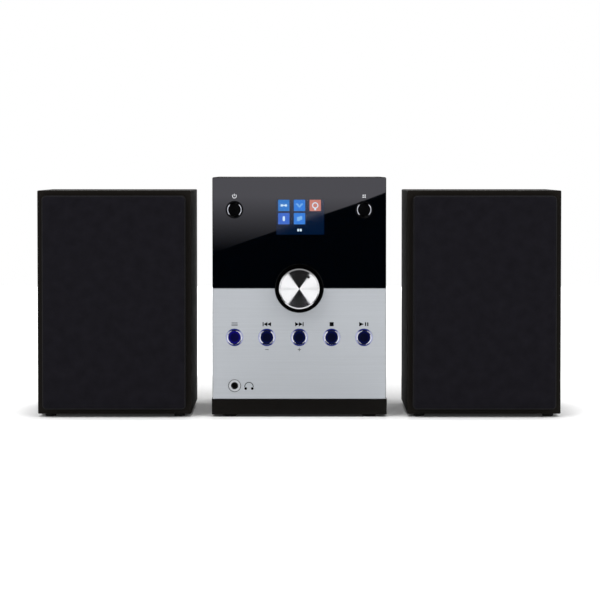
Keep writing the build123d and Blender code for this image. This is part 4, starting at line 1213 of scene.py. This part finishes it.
@dataclass
class FrontPanel:
    """The front of the centre unit: black window, silver trim, and what is printed on them.

    Attributes:
        label_gap: From a button's middle up to the symbol over it, on the window.
        symbol_gap: The same on the trim.
        sign_gap: From a button's middle down to the sign under it.
        phones_offset: From the headphone jack's middle across to its symbol.
        clear_shift: From the display's middle across to the middle of its clear window.
        clear_half: Half the clear window's width and height.
        nose: The inner and outer radius of the jack's plated nose.
        nose_depth: How deep the nose is.
        groove: The radius from which it is in shade.
    """

    label_gap: float = 11.2 * MM
    symbol_gap: float = 11.0 * MM
    sign_gap: float = 10.2 * MM
    phones_offset: float = 12.0 * MM
    clear_shift: float = 0.8 * MM
    clear_half: Spot = (19.95 * MM, 14.55 * MM)
    nose: Spot = (3.0 * MM, 6.0 * MM)
    nose_depth: float = 1.2 * MM
    groove: float = 4.75 * MM
    jack: Extent = field(default_factory=lambda: Extent.of("headphone_jack"))

    def dress(self) -> None:
        """Finishes the window, the trim, the frame behind them and the jack."""
        x, z = Extent.of("display_module").spot
        clear = {"window_middle": (x + self.clear_shift, z), "window_half": self.clear_half}
        dress(Acrylic("polished_black_acrylic", tone(0, 1, 3), 0.008, **clear), "front_window")
        trim = tone(184, 188, 193)
        brushed = BrushedMetal("brushed_silver_trim", trim, 0.42, metal=0.35, contrast=0.11)
        dress(brushed, "front_trim")
        dress(Moulding("black_frame_moulding", tone(9, 7, 5), 0.45, 0.12), "front_frame")
        socket = SocketMoulding(
            "headphone_socket",
            tone(8, 8, 9),
            0.45,
            axis=self.jack.spot,
            nose=self.nose,
            nose_front=self.jack.low.y + self.nose_depth,
            groove=self.groove,
            plating=tone(196, 199, 203),
        )
        dress(socket, "headphone_jack")

    def print_symbols(self) -> None:
        """Prints the symbols over and under the buttons and beside the jack."""
        face_y = Extent.of("front_window").low.y
        black = Ink("black_ink", tone(6, 6, 8), 0.6, 0.05)
        grey = Ink("grey_ink", tone(74, 76, 80), 0.6, 0.05)
        menu, *lower = ((button, Symbol(button)) for button in TRANSPORT)
        upper = (("power", Symbol.POWER), ("mode", Symbol.MODE))
        signs = (("previous", Symbol.MINUS), ("next", Symbol.PLUS))
        groups = (
            ("window_symbols", upper, self.label_gap, WHITE_INK, "window_acrylic"),
            ("transport_symbols", lower, self.symbol_gap, black, "trim_aluminium"),
            ("menu_symbol", [menu], self.symbol_gap, grey, "trim_aluminium"),
            ("tuning_symbols", signs, -self.sign_gap, grey, "trim_aluminium"),
        )
        for name, symbols, rise, ink, slot in groups:
            shapes = []
            for button, symbol in symbols:
                x, z = Extent.of(f"{button}_button").spot
                shapes += plates(SYMBOLS[symbol], (x, z + rise), face_y, INK_RISE, FRONT_VIEW)
            make_piece(name, together(shapes), ink, "main_unit")
        beside = (self.jack.spot[0] + self.phones_offset, self.jack.spot[1])
        shapes = plates(SYMBOLS[Symbol.HEADPHONES], beside, face_y, INK_RISE, FRONT_VIEW)
        make_piece("headphone_symbol", together(shapes), black, "main_unit")


@dataclass
class Display:
    """The colour display behind the window, with a picture of plain tiles.

    Attributes:
        border: Width of its moulded border.
        recess: How far the glass lies behind the border.
        shift: How far the picture lies to the right of the display's middle.
        tile: Side of a tile.
        tile_corner: Radius of its corners.
        column_pitch: From column to column.
        row_pitch: From row to row.
        upper_row: From the display's middle up to the upper row.
        label_drop: From the display's middle down to the label.
        tile_rise: How far a tile stands up from the glass.
        figure_rise: The same for a figure.
    """

    border: float = 2.0 * MM
    recess: float = 0.4 * MM
    shift: float = 0.2 * MM
    tile: float = 9.45 * MM
    tile_corner: float = 0.3 * MM
    column_pitch: float = 13.1 * MM
    row_pitch: float = 11.0 * MM
    upper_row: float = 9.8 * MM
    label_drop: float = 10.8 * MM
    tile_rise: float = 0.05 * MM
    figure_rise: float = 0.1 * MM
    box: Extent = field(default_factory=lambda: Extent.of("display_module"))

    def dress(self) -> None:
        """Finishes the display's glass and border."""
        picture = {
            "middle": self.box.spot,
            "half": (self.box.half.x - self.border, self.box.half.z - self.border),
            "light": tone(0, 19, 46),
            "rim": self.box.low.y + 2 * self.recess,
        }
        dress(Screen("lit_display_glass", tone(2, 4, 10), 0.04, **picture), "display_module")

    def draw(self) -> None:
        """Draws the tiles, a plain figure on each and a label under them."""
        glass = self.box.low.y + self.recess
        x, z = self.box.spot
        x += self.shift
        outline = rounded(self.tile, self.tile, self.tile_corner)
        drawn: dict[bool, list[Shape]] = {False: [], True: []}
        for tile in TILES:
            middle = (
                x + (tile.column - 1) * self.column_pitch,
                z + self.upper_row - tile.row * self.row_pitch,
            )
            shape = plate(outline, middle, glass, self.tile_rise, FRONT_VIEW)
            finish = Lit(f"lit_{tile.name}", tile.colour, 0.3)
            make_piece(tile.name, shape, finish, "main_unit")
            drawn[tile.soft] += plates(tile.figure, middle, glass, self.figure_rise, FRONT_VIEW)
        middle = (x, z - self.label_drop)
        drawn[False] += plates(LABEL, middle, glass, self.figure_rise, FRONT_VIEW)
        pale = Lit("lit_figures", tone(214, 238, 255), 0.3)
        soft = Lit("softly_lit_figures", tone(128, 186, 240), 0.3)
        figures = (("display_figures", pale, False), ("soft_display_figures", soft, True))
        for name, finish, group in figures:
            make_piece(name, together(drawn[group]), finish, "main_unit")


@dataclass
class Controls:
    """The volume knob in its dish, and the seven buttons with their collars and light rings.

    Attributes:
        mark_reach: From the knob's axis to its dimple.
        mark_angle: The dimple's angle, clockwise from the top, in degrees.
        mark_radius: The dimple's radius.
        chamfer: Width of the knob's bright edge.
        dish_rim: Width of the dish's rounded rim.
        cap_radius: Radius of a button's cap.
        cap_light: Where a cap's light starts and where it is full, as shares of that radius.
        collar_steps: From there out to the collar's inner edge, its crown's two radii and its
            outer edge.
    """

    mark_reach: float = 12.4 * MM
    mark_angle: float = 38.0
    mark_radius: float = 1.2 * MM
    chamfer: float = 1.1 * MM
    dish_rim: float = 0.8 * MM
    cap_radius: float = 5.1 * MM
    cap_light: Spot = (0.55, 0.98)
    collar_steps: tuple[float, ...] = (0.2 * MM, 0.5 * MM, 0.7 * MM, 1.1 * MM)

    def dress(self) -> None:
        """Finishes the knob and its dish."""
        box, dish = Extent.of("volume_knob"), Extent.of("knob_ring")
        x, z = box.spot
        turn = radians(self.mark_angle)
        knob = TurnedMetal(
            "turned_knob_aluminium",
            tone(240, 240, 242),
            0.06,
            axis=(x, z),
            face_y=box.low.y,
            face_radius=box.half.x - self.chamfer,
            dimple=(x + self.mark_reach * sin(turn), z + self.mark_reach * cos(turn)),
            dimple_radius=self.mark_radius,
        )
        dress(knob, "volume_knob")
        edge = {"rim": (dish.half.x - self.dish_rim, dish.half.x), "front_y": dish.low.y}
        dress(RoundedRim("gloss_black_dish", tone(1, 1, 1), 0.08, axis=(x, z), **edge), "knob_ring")

    def dress_buttons(self) -> None:
        """Finishes the buttons' collars, light rings and caps."""
        low, high = Extent.of("next_button").middle, Extent.of("power_button").middle
        grid = {"pitch": Extent.of("stop_button").middle.x - low.x, "rows": (low.z, high.z)}
        edges = tuple(self.cap_radius + step for step in self.collar_steps)
        silver = tone(214, 216, 226)
        # the chrome's upper row gets painted shade above and under its buttons
        chrome = RoundedChrome("polished_collar_chrome", silver, 0.05, edges=edges, **grid)
        dress(chrome, "button_collars")
        # the bright colour is a painted highlight at the two sides of each lit ring
        glow = {"light": tone(30, 42, 124), "bright": tone(178, 182, 220)}
        guide = LightGuide("button_light_guide", tone(2, 2, 4), 0.2, 0.1, **glow, **grid)
        dress(guide, "button_light_rings")
        rim = tuple(self.cap_radius * share for share in self.cap_light)
        navy = tone(3, 4, 12)
        caps = (
            ("black_button_caps", tone(3, 3, 4), BLACK, ("power", "mode")),
            ("blue_lit_button_caps", navy, tone(8, 14, 62), TRANSPORT[1:]),
            ("bright_lit_button_cap", navy, tone(18, 12, 108), TRANSPORT[:1]),
        )
        for name, colour, light, buttons in caps:
            cap = LitCap(name, colour, 0.25, 0.03, light=light, rim=rim, **grid)
            dress(cap, *(f"{button}_button" for button in buttons))


@dataclass
class Case:
    """The shells, the rear with its sockets, the deck, the lid and what is inside.

    Attributes:
        board_top: The main board's upper face.
        front_board_depth: How deep the front board's parts are, in front of its lacquer.
        lens_radius: Radius of the laser's lens.
        lens_rise: How far the lens stands up from the sled.
        sign_rise: From the terminal block's foot up to its signs.
    """

    board_top: float = 10.65 * MM
    front_board_depth: float = 5.0 * MM
    lens_radius: float = 2.6 * MM
    lens_rise: float = 0.5 * MM
    sign_rise: float = 2.9 * MM

    def dress_shells(self) -> None:
        """Finishes the sheet-metal shells, the rubber parts and the screws."""
        paint = PowderPaint("black_case_paint", tone(36, 35, 34), 0.5, 0.4)
        dress(paint, "case_cover", "rear_panel")
        zinc = BrightMetal("zinc_plated_sheet", tone(150, 152, 154), 0.36, stain=7 * MM)
        dress(zinc, "base_chassis", "mechanism_frame")
        rubber = Moulding("black_rubber", tone(24, 24, 24), 0.75, 0.3, depth=0.03 * MM)
        both = [f"{side}_{part}" for side in SIDES for part in ("speaker_feet", "lead_gland")]
        dress(rubber, "unit_feet", "aerial_grommet", *both)
        dress(BLACK_SCREWS, "case_screws")

    def dress_deck(self) -> None:
        """Finishes the deck, the lid, the hub and the disc mechanism."""
        dress(Moulding("black_deck_moulding", tone(30, 30, 31), 0.45), "top_deck")
        dress(Moulding("satin_black_lid", tone(27, 27, 28), 0.34, 0.4, depth=0.002 * MM), "cd_lid")
        dress(Moulding("grey_hub_moulding", tone(58, 58, 62), 0.4), "disc_hub")
        sled = Extent.of("laser_sled")
        spot, top = (sled.middle.x, sled.middle.y), sled.high.z - self.lens_rise
        glass = {"spot": spot, "radius": self.lens_radius, "top": top}
        dress(Lens("sled_and_lens", tone(46, 46, 50), 0.45, **glass), "laser_sled")
        steel = BrightMetal("plated_bright_steel", tone(196, 197, 199), 0.22)
        dress(steel, "sled_rods", "encoder_shaft", "volume_encoder", "spindle_motor", "usb_socket")

    def dress_rear(self) -> None:
        """Finishes the rear sockets and the terminals."""
        sockets = Moulding("black_socket_moulding", tone(22, 22, 23), 0.42)
        dress(sockets, "aux_socket", "mains_inlet")
        dress(Moulding("black_terminal_moulding", tone(26, 26, 27), 0.4), "terminal_block")
        red = Moulding("red_lever_moulding", tone(190, 26, 30), 0.32)
        dress(red, "terminal_lever_1", "terminal_lever_3")
        black = Moulding("black_lever_moulding", tone(20, 20, 21), 0.32)
        dress(black, "terminal_lever_2", "terminal_lever_4")

    def dress_boards(self) -> None:
        """Finishes the circuit boards."""
        green = tone(30, 102, 58)
        flat = Board("main_circuit_board", green, 0.35, lacquer_top=self.board_top)
        dress(flat, "main_board", "power_supply")
        lacquer = Extent.of("front_board").low.y + self.front_board_depth
        board = Board("front_circuit_board", green, 0.35, lacquer_top=lacquer, upright=True)
        dress(board, "front_board")

    def print_signs(self) -> None:
        """Prints a plus or a minus under each terminal's wire hole."""
        block = Extent.of("terminal_block")
        shapes = []
        for number in range(1, 5):
            lever = Extent.of(f"terminal_lever_{number}")
            sign = SYMBOLS[Symbol.PLUS if number % 2 else Symbol.MINUS]
            middle = (lever.middle.x, block.low.z + self.sign_rise)
            shapes += plates(sign, middle, block.high.y, INK_RISE, REAR_VIEW)
        make_piece("terminal_signs", together(shapes), WHITE_INK, "main_unit")


@dataclass
class Speaker:
    """One loudspeaker: the cabinet, the driver, and the grille with its stretched cloth.

    Attributes:
        side: "left" or "right".
        cloth_edge: Radius to which the cloth is drawn over the frame's edge.
        cloth_corner: Radius of its corners, seen from in front.
        cloth_sag: How far it gives between the frame's bars.
        cloth_skin: The cloth's own thickness.
        back_gap: From the cabinet's front to where the cloth ends.
        screw_circle: Radius of the circle of driver screws.
        screw_radius: Radius of a screw's head.
        screw_height: Height of a screw's head.
        screw_count: How many screws hold the driver.
    """

    side: str
    cloth_edge: float = 2.2 * MM
    cloth_corner: float = 3.5 * MM
    cloth_sag: float = 0.5 * MM
    cloth_skin: float = 0.35 * MM
    back_gap: float = 0.8 * MM
    screw_circle: float = 47.4 * MM
    screw_radius: float = 2.3 * MM
    screw_height: float = 1.3 * MM
    screw_count: int = 4

    def part(self, name: str) -> str:
        """The name of this loudspeaker's part."""
        return f"{self.side}_{name}"

    def dress(self) -> None:
        """Finishes the cabinet, the driver and the grille frame."""
        axis = Extent.of(self.part("driver_cone")).spot
        cone = Pulp(self.part("cone_pulp"), tone(50, 50, 52), 0.75, 0.3, axis=axis)
        rubber = Moulding("soft_surround_rubber", tone(22, 22, 22), 0.6, 0.4, depth=0.004 * MM)
        finishes = {
            "cabinet": Vinyl("black_ash_vinyl", tone(21, 18, 15), 0.6, 0.1),
            "baffle": Vinyl("painted_baffle_board", tone(12, 11, 11), 0.6, 0.2),
            "grille_frame": Moulding("black_grille_moulding", tone(14, 14, 14), 0.55, 0.3),
            "driver_basket": PowderPaint("black_basket_paint", tone(34, 34, 35), 0.4),
            "driver_surround": rubber,
            "driver_cone": cone,
        }
        for name, finish in finishes.items():
            dress(finish, self.part(name))

    def stretch_cloth(self) -> None:
        """Stretches the cloth over the grille frame.

        The frame's outline is carried along a profile: up the side, round the edge on a quarter
        circle, and in over the front to the middle, where the front gives a little as a shallow
        dish. On the flat map, each point lies as far outside the front's edge as the profile is
        long from there.
        """
        cad, edge = Extent.of(self.part("grille_cloth")), self.cloth_edge
        side_end = Extent.of(self.part("cabinet")).low.y - self.back_gap - cad.low.y
        inner = (2 * (cad.half.x - edge), 2 * (cad.half.z - edge))
        quarter = np.linspace(0, pi / 2, 7)[1:]
        insets = np.concatenate([np.zeros(4), edge * (1 - np.cos(quarter))])
        side = np.linspace(side_end, edge, 4)
        depths = np.concatenate([side, edge * (1 - np.sin(quarter))])
        lengths = np.concatenate([[0.0], np.cumsum(np.hypot(np.diff(insets), np.diff(depths)))])
        front = rounded(*inner, self.cloth_corner - edge)
        outwards = front / np.linalg.norm(front, axis=1, keepdims=True)
        rows, flats = [], []
        for inset, depth, length in zip(insets, depths, lengths):
            size = (2 * (cad.half.x - inset), 2 * (cad.half.z - inset))
            loop = rounded(*size, self.cloth_corner - inset)
            rows.append(upright(loop, cad.spot, cad.low.y + depth))
            flats.append(front + outwards * (lengths[-1] - length))
        for share in np.linspace(1, 0, 15)[1:]:
            loop = front * share
            dish = np.prod(1 - (loop / (cad.half.x, cad.half.z)) ** 2, axis=1)
            rows.append(upright(loop, cad.spot, cad.low.y + self.cloth_sag * dish))
            flats.append(loop)
        knit = Knit("black_grille_knit", tone(22, 21, 26), 0.95, 0.06)
        shape = grid_shape(np.stack(rows), np.stack(flats))
        cloth = make_piece(self.part("cloth"), shape, knit, self.part("grille"))
        skin = cloth.modifiers.new("skin", "SOLIDIFY")
        skin.thickness = self.cloth_skin
        skin.offset = -1.0
        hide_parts(self.part("grille_cloth"))
        width, length = (float(whole + 2 * lengths[-1]) for whole in inner)
        log.info("%s cut to %.1f by %.1f mm", cloth.name, width / MM, length / MM)

    def drive_screws(self) -> None:
        """Puts the screws round the driver's flange."""
        basket = Extent.of(self.part("driver_basket"))
        angles = whole_turn(self.screw_count) + pi / self.screw_count
        heads = [
            screw_head(spot, basket.low.y, self.screw_radius, self.screw_height)
            for spot in (basket.spot + self.screw_circle * rays(angles)).tolist()
        ]
        name, body = self.part("driver_screws"), self.part("speaker")
        make_piece(name, together(heads), BLACK_SCREWS, body)


@dataclass
class Studio:
    """A plain white studio: floor, soft lamps, cards that only reflections show, and a camera.

    Attributes:
        eye: The camera's place.
        aim: What it looks at.
        lens: Its focal length, in millimetres on a 36 mm frame.
        floor_half: Half the floor's side.
        floor_colour: Its colour.
        floor_light: Its own light near the set, how much more it has away from the set, and how
            much less in the gaps.
        floor_mirrored: The share of that light that shows in mirrors.
        bright_from: Where the floor turns bright: so far to each side of the middle, so far
            before the front, and so far from the middle all round.
        bright_over: Over how far it turns bright.
        gap_x: The middle of the gap between the unit and a speaker, in x.
        gap_half: Half its width.
        gap_blur: Half the width over which the gap's shade starts.
        gap_end: Where that shade ends, in y.
        gap_fade: Over how far it fades there.
        around: The light of the surroundings on what is matt.
        card_gap: From the front of the set to the cards.
        card_brightness: The sloping card's light.
        card_colour: Its colour.
        card_spread: How many times as wide and as high as the window it is mirrored.
        card_low: Height at which its lower edge is mirrored at the window's left end.
        card_slope: How much that edge rises for each 1 to the right.
        card_fade: The mirrored heights at which its light starts and is full.
        card_fall: The power by which its light falls between them.
        side_brightness: The side cards' light.
        side_card: A side card's inner and outer end, from the knob's mirrored axis, and its top.
        sector: Half the angle of each dark sector on the knob, in degrees.
        strip_gap: From the front of the set to the dark strip.
        strip_rise: How far over the floor the strip lies.
        strip_brightness: Its light.
    """

    eye: Place = (0.0006, -2.5605, 0.2080)
    aim: Place = (0.0006, -0.0905, 0.0977)
    lens: float = 177.9
    floor_half: float = 2.62
    floor_colour: Colour = (0.9, 0.9, 0.9, 1.0)
    floor_light: Place = (0.1, 0.35, 0.08)
    floor_mirrored: float = 0.3
    bright_from: Place = (0.21, 0.016, 0.38)
    bright_over: float = 0.05
    gap_x: float = 81.4 * MM
    gap_half: float = 9.0 * MM
    gap_blur: float = 0.002
    gap_end: float = 0.04
    gap_fade: float = 0.03
    around: float = 0.55
    card_gap: float = 1.2
    card_brightness: float = 1.85
    card_colour: Colour = (0.985, 0.965, 1.08, 1.0)
    card_spread: Spot = (1.15, 1.06)
    card_low: float = 136.5 * MM
    card_slope: float = (187.4 - 136.5) / (71.0 + 72.5)
    card_fade: Spot = (136.0 * MM, 184.0 * MM)
    card_fall: float = 1.35
    side_brightness: float = 0.9
    side_card: Place = (0.125, 1.9, 1.5)
    sector: float = 34.0
    strip_gap: float = 0.03
    strip_rise: float = 0.0004
    strip_brightness: float = 0.02
    front_y: float = field(default_factory=lambda: Extent.of("front_window").low.y)

    def build(self) -> None:
        """Sets up everything that the set stands in."""
        self.set_camera()
        self.lay_floor()
        self.light_world()
        self.hang_lamps()
        self.stand_cards()
        bpy.context.scene.view_settings.view_transform = "Standard"

    @staticmethod
    def pointed(name: str, data: Any, place: Place, aim: Place) -> bpy.types.Object:
        """Puts up a camera or a lamp, turned so that its -Z looks at what it is pointed at.

        Args:
            name: Its name.
            data: The camera or the lamp.
            place: Where it goes.
            aim: What it looks at.

        Returns:
            The new object.
        """
        thing = bpy.data.objects.new(name, data)
        thing.location = place
        thing.rotation_euler = (Vector(aim) - Vector(place)).to_track_quat("-Z", "Y").to_euler()
        bpy.context.scene.collection.objects.link(thing)
        return thing

    def set_camera(self) -> None:
        """Places the camera at the front, a little above the set."""
        data = bpy.data.cameras.new("camera")
        data.lens = self.lens
        data.sensor_width = 36.0
        bpy.context.scene.camera = self.pointed("camera", data, self.eye, self.aim)

    @staticmethod
    def staged(name: str, corners: Sequence[Place], finish: str) -> tuple[bpy.types.Object, Graph]:
        """Makes a flat thing of the studio: one face between its corners.

        Args:
            name: Its name.
            corners: Its corners in order.
            finish: What its material is called.

        Returns:
            The new object and the graph of its surface.
        """
        mesh = bpy.data.meshes.new(name)
        mesh.from_pydata(corners, [], [list(range(len(corners)))])
        thing = bpy.data.objects.new(name, mesh)
        bpy.context.scene.collection.objects.link(thing)
        made = bpy.data.materials.new(finish)
        made.use_nodes = True
        mesh.materials.append(made)
        return thing, Graph(made.node_tree)

    def lay_floor(self) -> None:
        """A pale floor that is a little bright to the camera by itself, and takes shadows."""
        half = self.floor_half
        corners = [(-half, -half, 0.0), (half, -half, 0.0), (half, half, 0.0), (-half, half, 0.0)]
        _, graph = self.staged("floor", corners, "pale_floor")
        camera, glossy, through = self.kinds_of_ray(graph)
        seen = camera.either(glossy * self.floor_mirrored).either(through)
        x, y, _ = graph.parts()
        beside = abs(x) - self.bright_from[0]
        before = self.front_y - self.bright_from[1] - y
        round_about = distance_from(x, y, (0.0, 0.0)) - self.bright_from[2]
        away = beside.either(before).either(round_about).clipped(0.0, self.bright_over)
        # painted shade: the floor's own light is lowered in the gaps between the unit and the
        # loudspeakers
        ends = (self.gap_half - self.gap_blur, self.gap_half + self.gap_blur)
        under = abs(abs(x) - self.gap_x).clipped(*ends)
        under = under * (self.gap_end - y).clipped(0.0, self.gap_fade) * (1 - away)
        own = graph.node("BsdfDiffuse", inputs={"Color": self.floor_colour})
        near, more, less = self.floor_light
        strength = seen * (away * more + near - under * less)
        glow = graph.node("Emission", inputs={"Strength": strength})
        graph.show(graph.node("AddShader", inputs={0: own, 1: glow}))

    @staticmethod
    def kinds_of_ray(graph: Graph) -> tuple[Value, ...]:
        """1 for what the eye sees directly, in a mirror, and through glass."""
        path = graph.node("LightPath")
        return graph.outputs(path, "Is Camera Ray", "Is Glossy Ray", "Is Transmission Ray")

    def light_world(self) -> None:
        """White all round to the eye, and in reflections white behind and at the sides."""
        world = bpy.data.worlds.new("studio")
        world.use_nodes = True
        bpy.context.scene.world = world
        graph = Graph(world.node_tree)
        seen, mirrored, through = self.kinds_of_ray(graph)
        x, y, _ = graph.parts(graph.node("TexCoord", output="Generated"))
        settings = {"interpolation_type": "SMOOTHSTEP"}
        back = {"Value": y, "From Min": -0.25, "From Max": 0.35, "To Min": 0.01, "To Max": 1.0}
        flank = {"Value": abs(x), "From Min": 0.5, "From Max": 0.95, "To Min": 0.01, "To Max": 0.9}
        behind = graph.node("MapRange", settings, back)
        behind = behind.either(graph.node("MapRange", settings, flank))
        plain = (1 - seen) * (1 - mirrored) * (1 - through) * self.around
        strength = plain + seen.either(through) + mirrored * (1 - seen) * behind
        white = {"Color": (1.0, 1.0, 1.0, 1.0), "Strength": strength}
        background = graph.node("Background", inputs=white)
        graph.node("OutputWorld", inputs={"Surface": background})

    def hang_lamps(self) -> None:
        """Large soft lamps: over the front left, over the front right, overhead and behind."""
        lamps = (
            ("key_lamp", (-1.3, -1.9, 1.9), 1.6, 28.0),
            ("fill_lamp", (1.5, -1.8, 1.5), 1.6, 20.0),
            ("top_lamp", (0.0, -0.3, 2.4), 2.2, 22.0),
            ("back_lamp", (0.4, 2.9, 0.7), 1.6, 26.0),
        )
        for name, place, size, power in lamps:
            data = bpy.data.lights.new(name, "AREA")
            data.size = size
            data.energy = power
            self.pointed(name, data, place, (0.0, 0.0, 0.1)).visible_glossy = False

    def card(self, name: str, corners: Sequence[Place]) -> Graph:
        """Makes a card that only reflections show.

        Args:
            name: Its name, and its material's.
            corners: Its corners in order.

        Returns:
            The graph of its shine.
        """
        thing, graph = self.staged(name, corners, name)
        for ray in ("camera", "diffuse", "shadow", "transmission", "volume_scatter"):
            setattr(thing, f"visible_{ray}", False)
        return graph

    @staticmethod
    def shine(graph: Graph, inputs: Sockets) -> None:
        """Makes a card shine."""
        graph.show(graph.node("Emission", inputs=inputs))

    def on_card(self, x: float, z: float) -> Place:
        """Where on the plane of the cards the camera sees a point of the front mirrored.

        The mirrored line keeps its slope, so past the point it moves on in x and z by its first
        leg times the cards' gap over the depth of that leg.

        Args:
            x: The point's place across.
            z: Its height.

        Returns:
            The place on the cards.
        """
        share = self.card_gap / (self.front_y - self.eye[1])
        reach = self.front_y - self.card_gap
        return (x + (x - self.eye[0]) * share, reach, z + (z - self.eye[2]) * share)

    def stand_cards(self) -> None:
        """Stands the cards whose reflections show in the window and in the turned knob."""
        window = Extent.of("front_window")
        knob = Extent.of("volume_knob").spot
        ends = [end * self.card_spread[0] for end in (window.low.x, window.high.x)]
        edge = [(x, self.card_low + self.card_slope * (x - window.low.x)) for x in ends]
        top = window.high.z * self.card_spread[1]
        corners = [self.on_card(x, z) for x, z in edge + [(x, top) for x in ends[::-1]]]
        graph = self.card("sloping_card", corners)
        _, _, z = graph.parts()
        dim, full = (self.on_card(0.0, height)[2] for height in self.card_fade)
        fade = {"Value": z, "From Min": dim, "From Max": full}
        light = graph.node("MapRange", inputs=fade) ** self.card_fall
        shine = {"Color": self.card_colour, "Strength": light * self.card_brightness}
        self.shine(graph, shine)
        self.stand_side_cards(knob)
        self.lay_dark_strip(knob)

    def stand_side_cards(self, knob: Spot) -> None:
        """Stands a bright card at each side, cut along the edges of the knob's bright sectors.

        Args:
            knob: The knob's axis, in x and z.
        """
        x, y, z = self.on_card(*knob)
        slope = tan(radians(self.sector))
        inner, outer, top = self.side_card
        low, high = (inner, z + inner / slope), ((top - z) * slope, top)
        outline = ((inner, 0.0), low, high, (outer, top), (outer, 0.0))
        for side, way in zip(SIDES, (-1.0, 1.0)):
            corners = [(x + way * across, y, up) for across, up in outline]
            graph = self.card(f"{side}_side_card", corners)
            self.shine(graph, {"Strength": self.side_brightness})

    def lay_dark_strip(self, knob: Spot) -> None:
        """Lays a dark strip on the floor in front, which the knob mirrors in its lower sector.

        Args:
            knob: The knob's axis, in x and z.
        """
        half = knob[1] * tan(radians(self.sector))
        start, end = self.front_y - self.strip_gap, -self.floor_half
        outline = ((-half, start), (half, start), (half, end), (-half, end))
        graph = self.card("dark_strip", [(x, y, self.strip_rise) for x, y in outline])
        self.shine(graph, {"Strength": self.strip_brightness})


# --- The whole set ------------------------------------------------------------------------------


def main() -> None:
    """Builds the studio and dresses every sub-assembly in order."""
    logging.basicConfig(level=logging.INFO, format="%(name)s: %(message)s")
    Studio().build()
    panel = FrontPanel()
    panel.dress()
    panel.print_symbols()
    display = Display()
    display.dress()
    display.draw()
    controls = Controls()
    controls.dress()
    controls.dress_buttons()
    case = Case()
    case.dress_shells()
    case.dress_deck()
    case.dress_rear()
    case.dress_boards()
    case.print_signs()
    for side in SIDES:
        speaker = Speaker(side)
        speaker.dress()
        speaker.stretch_cloth()
        speaker.drive_screws()


if __name__ == "__main__":
    main()
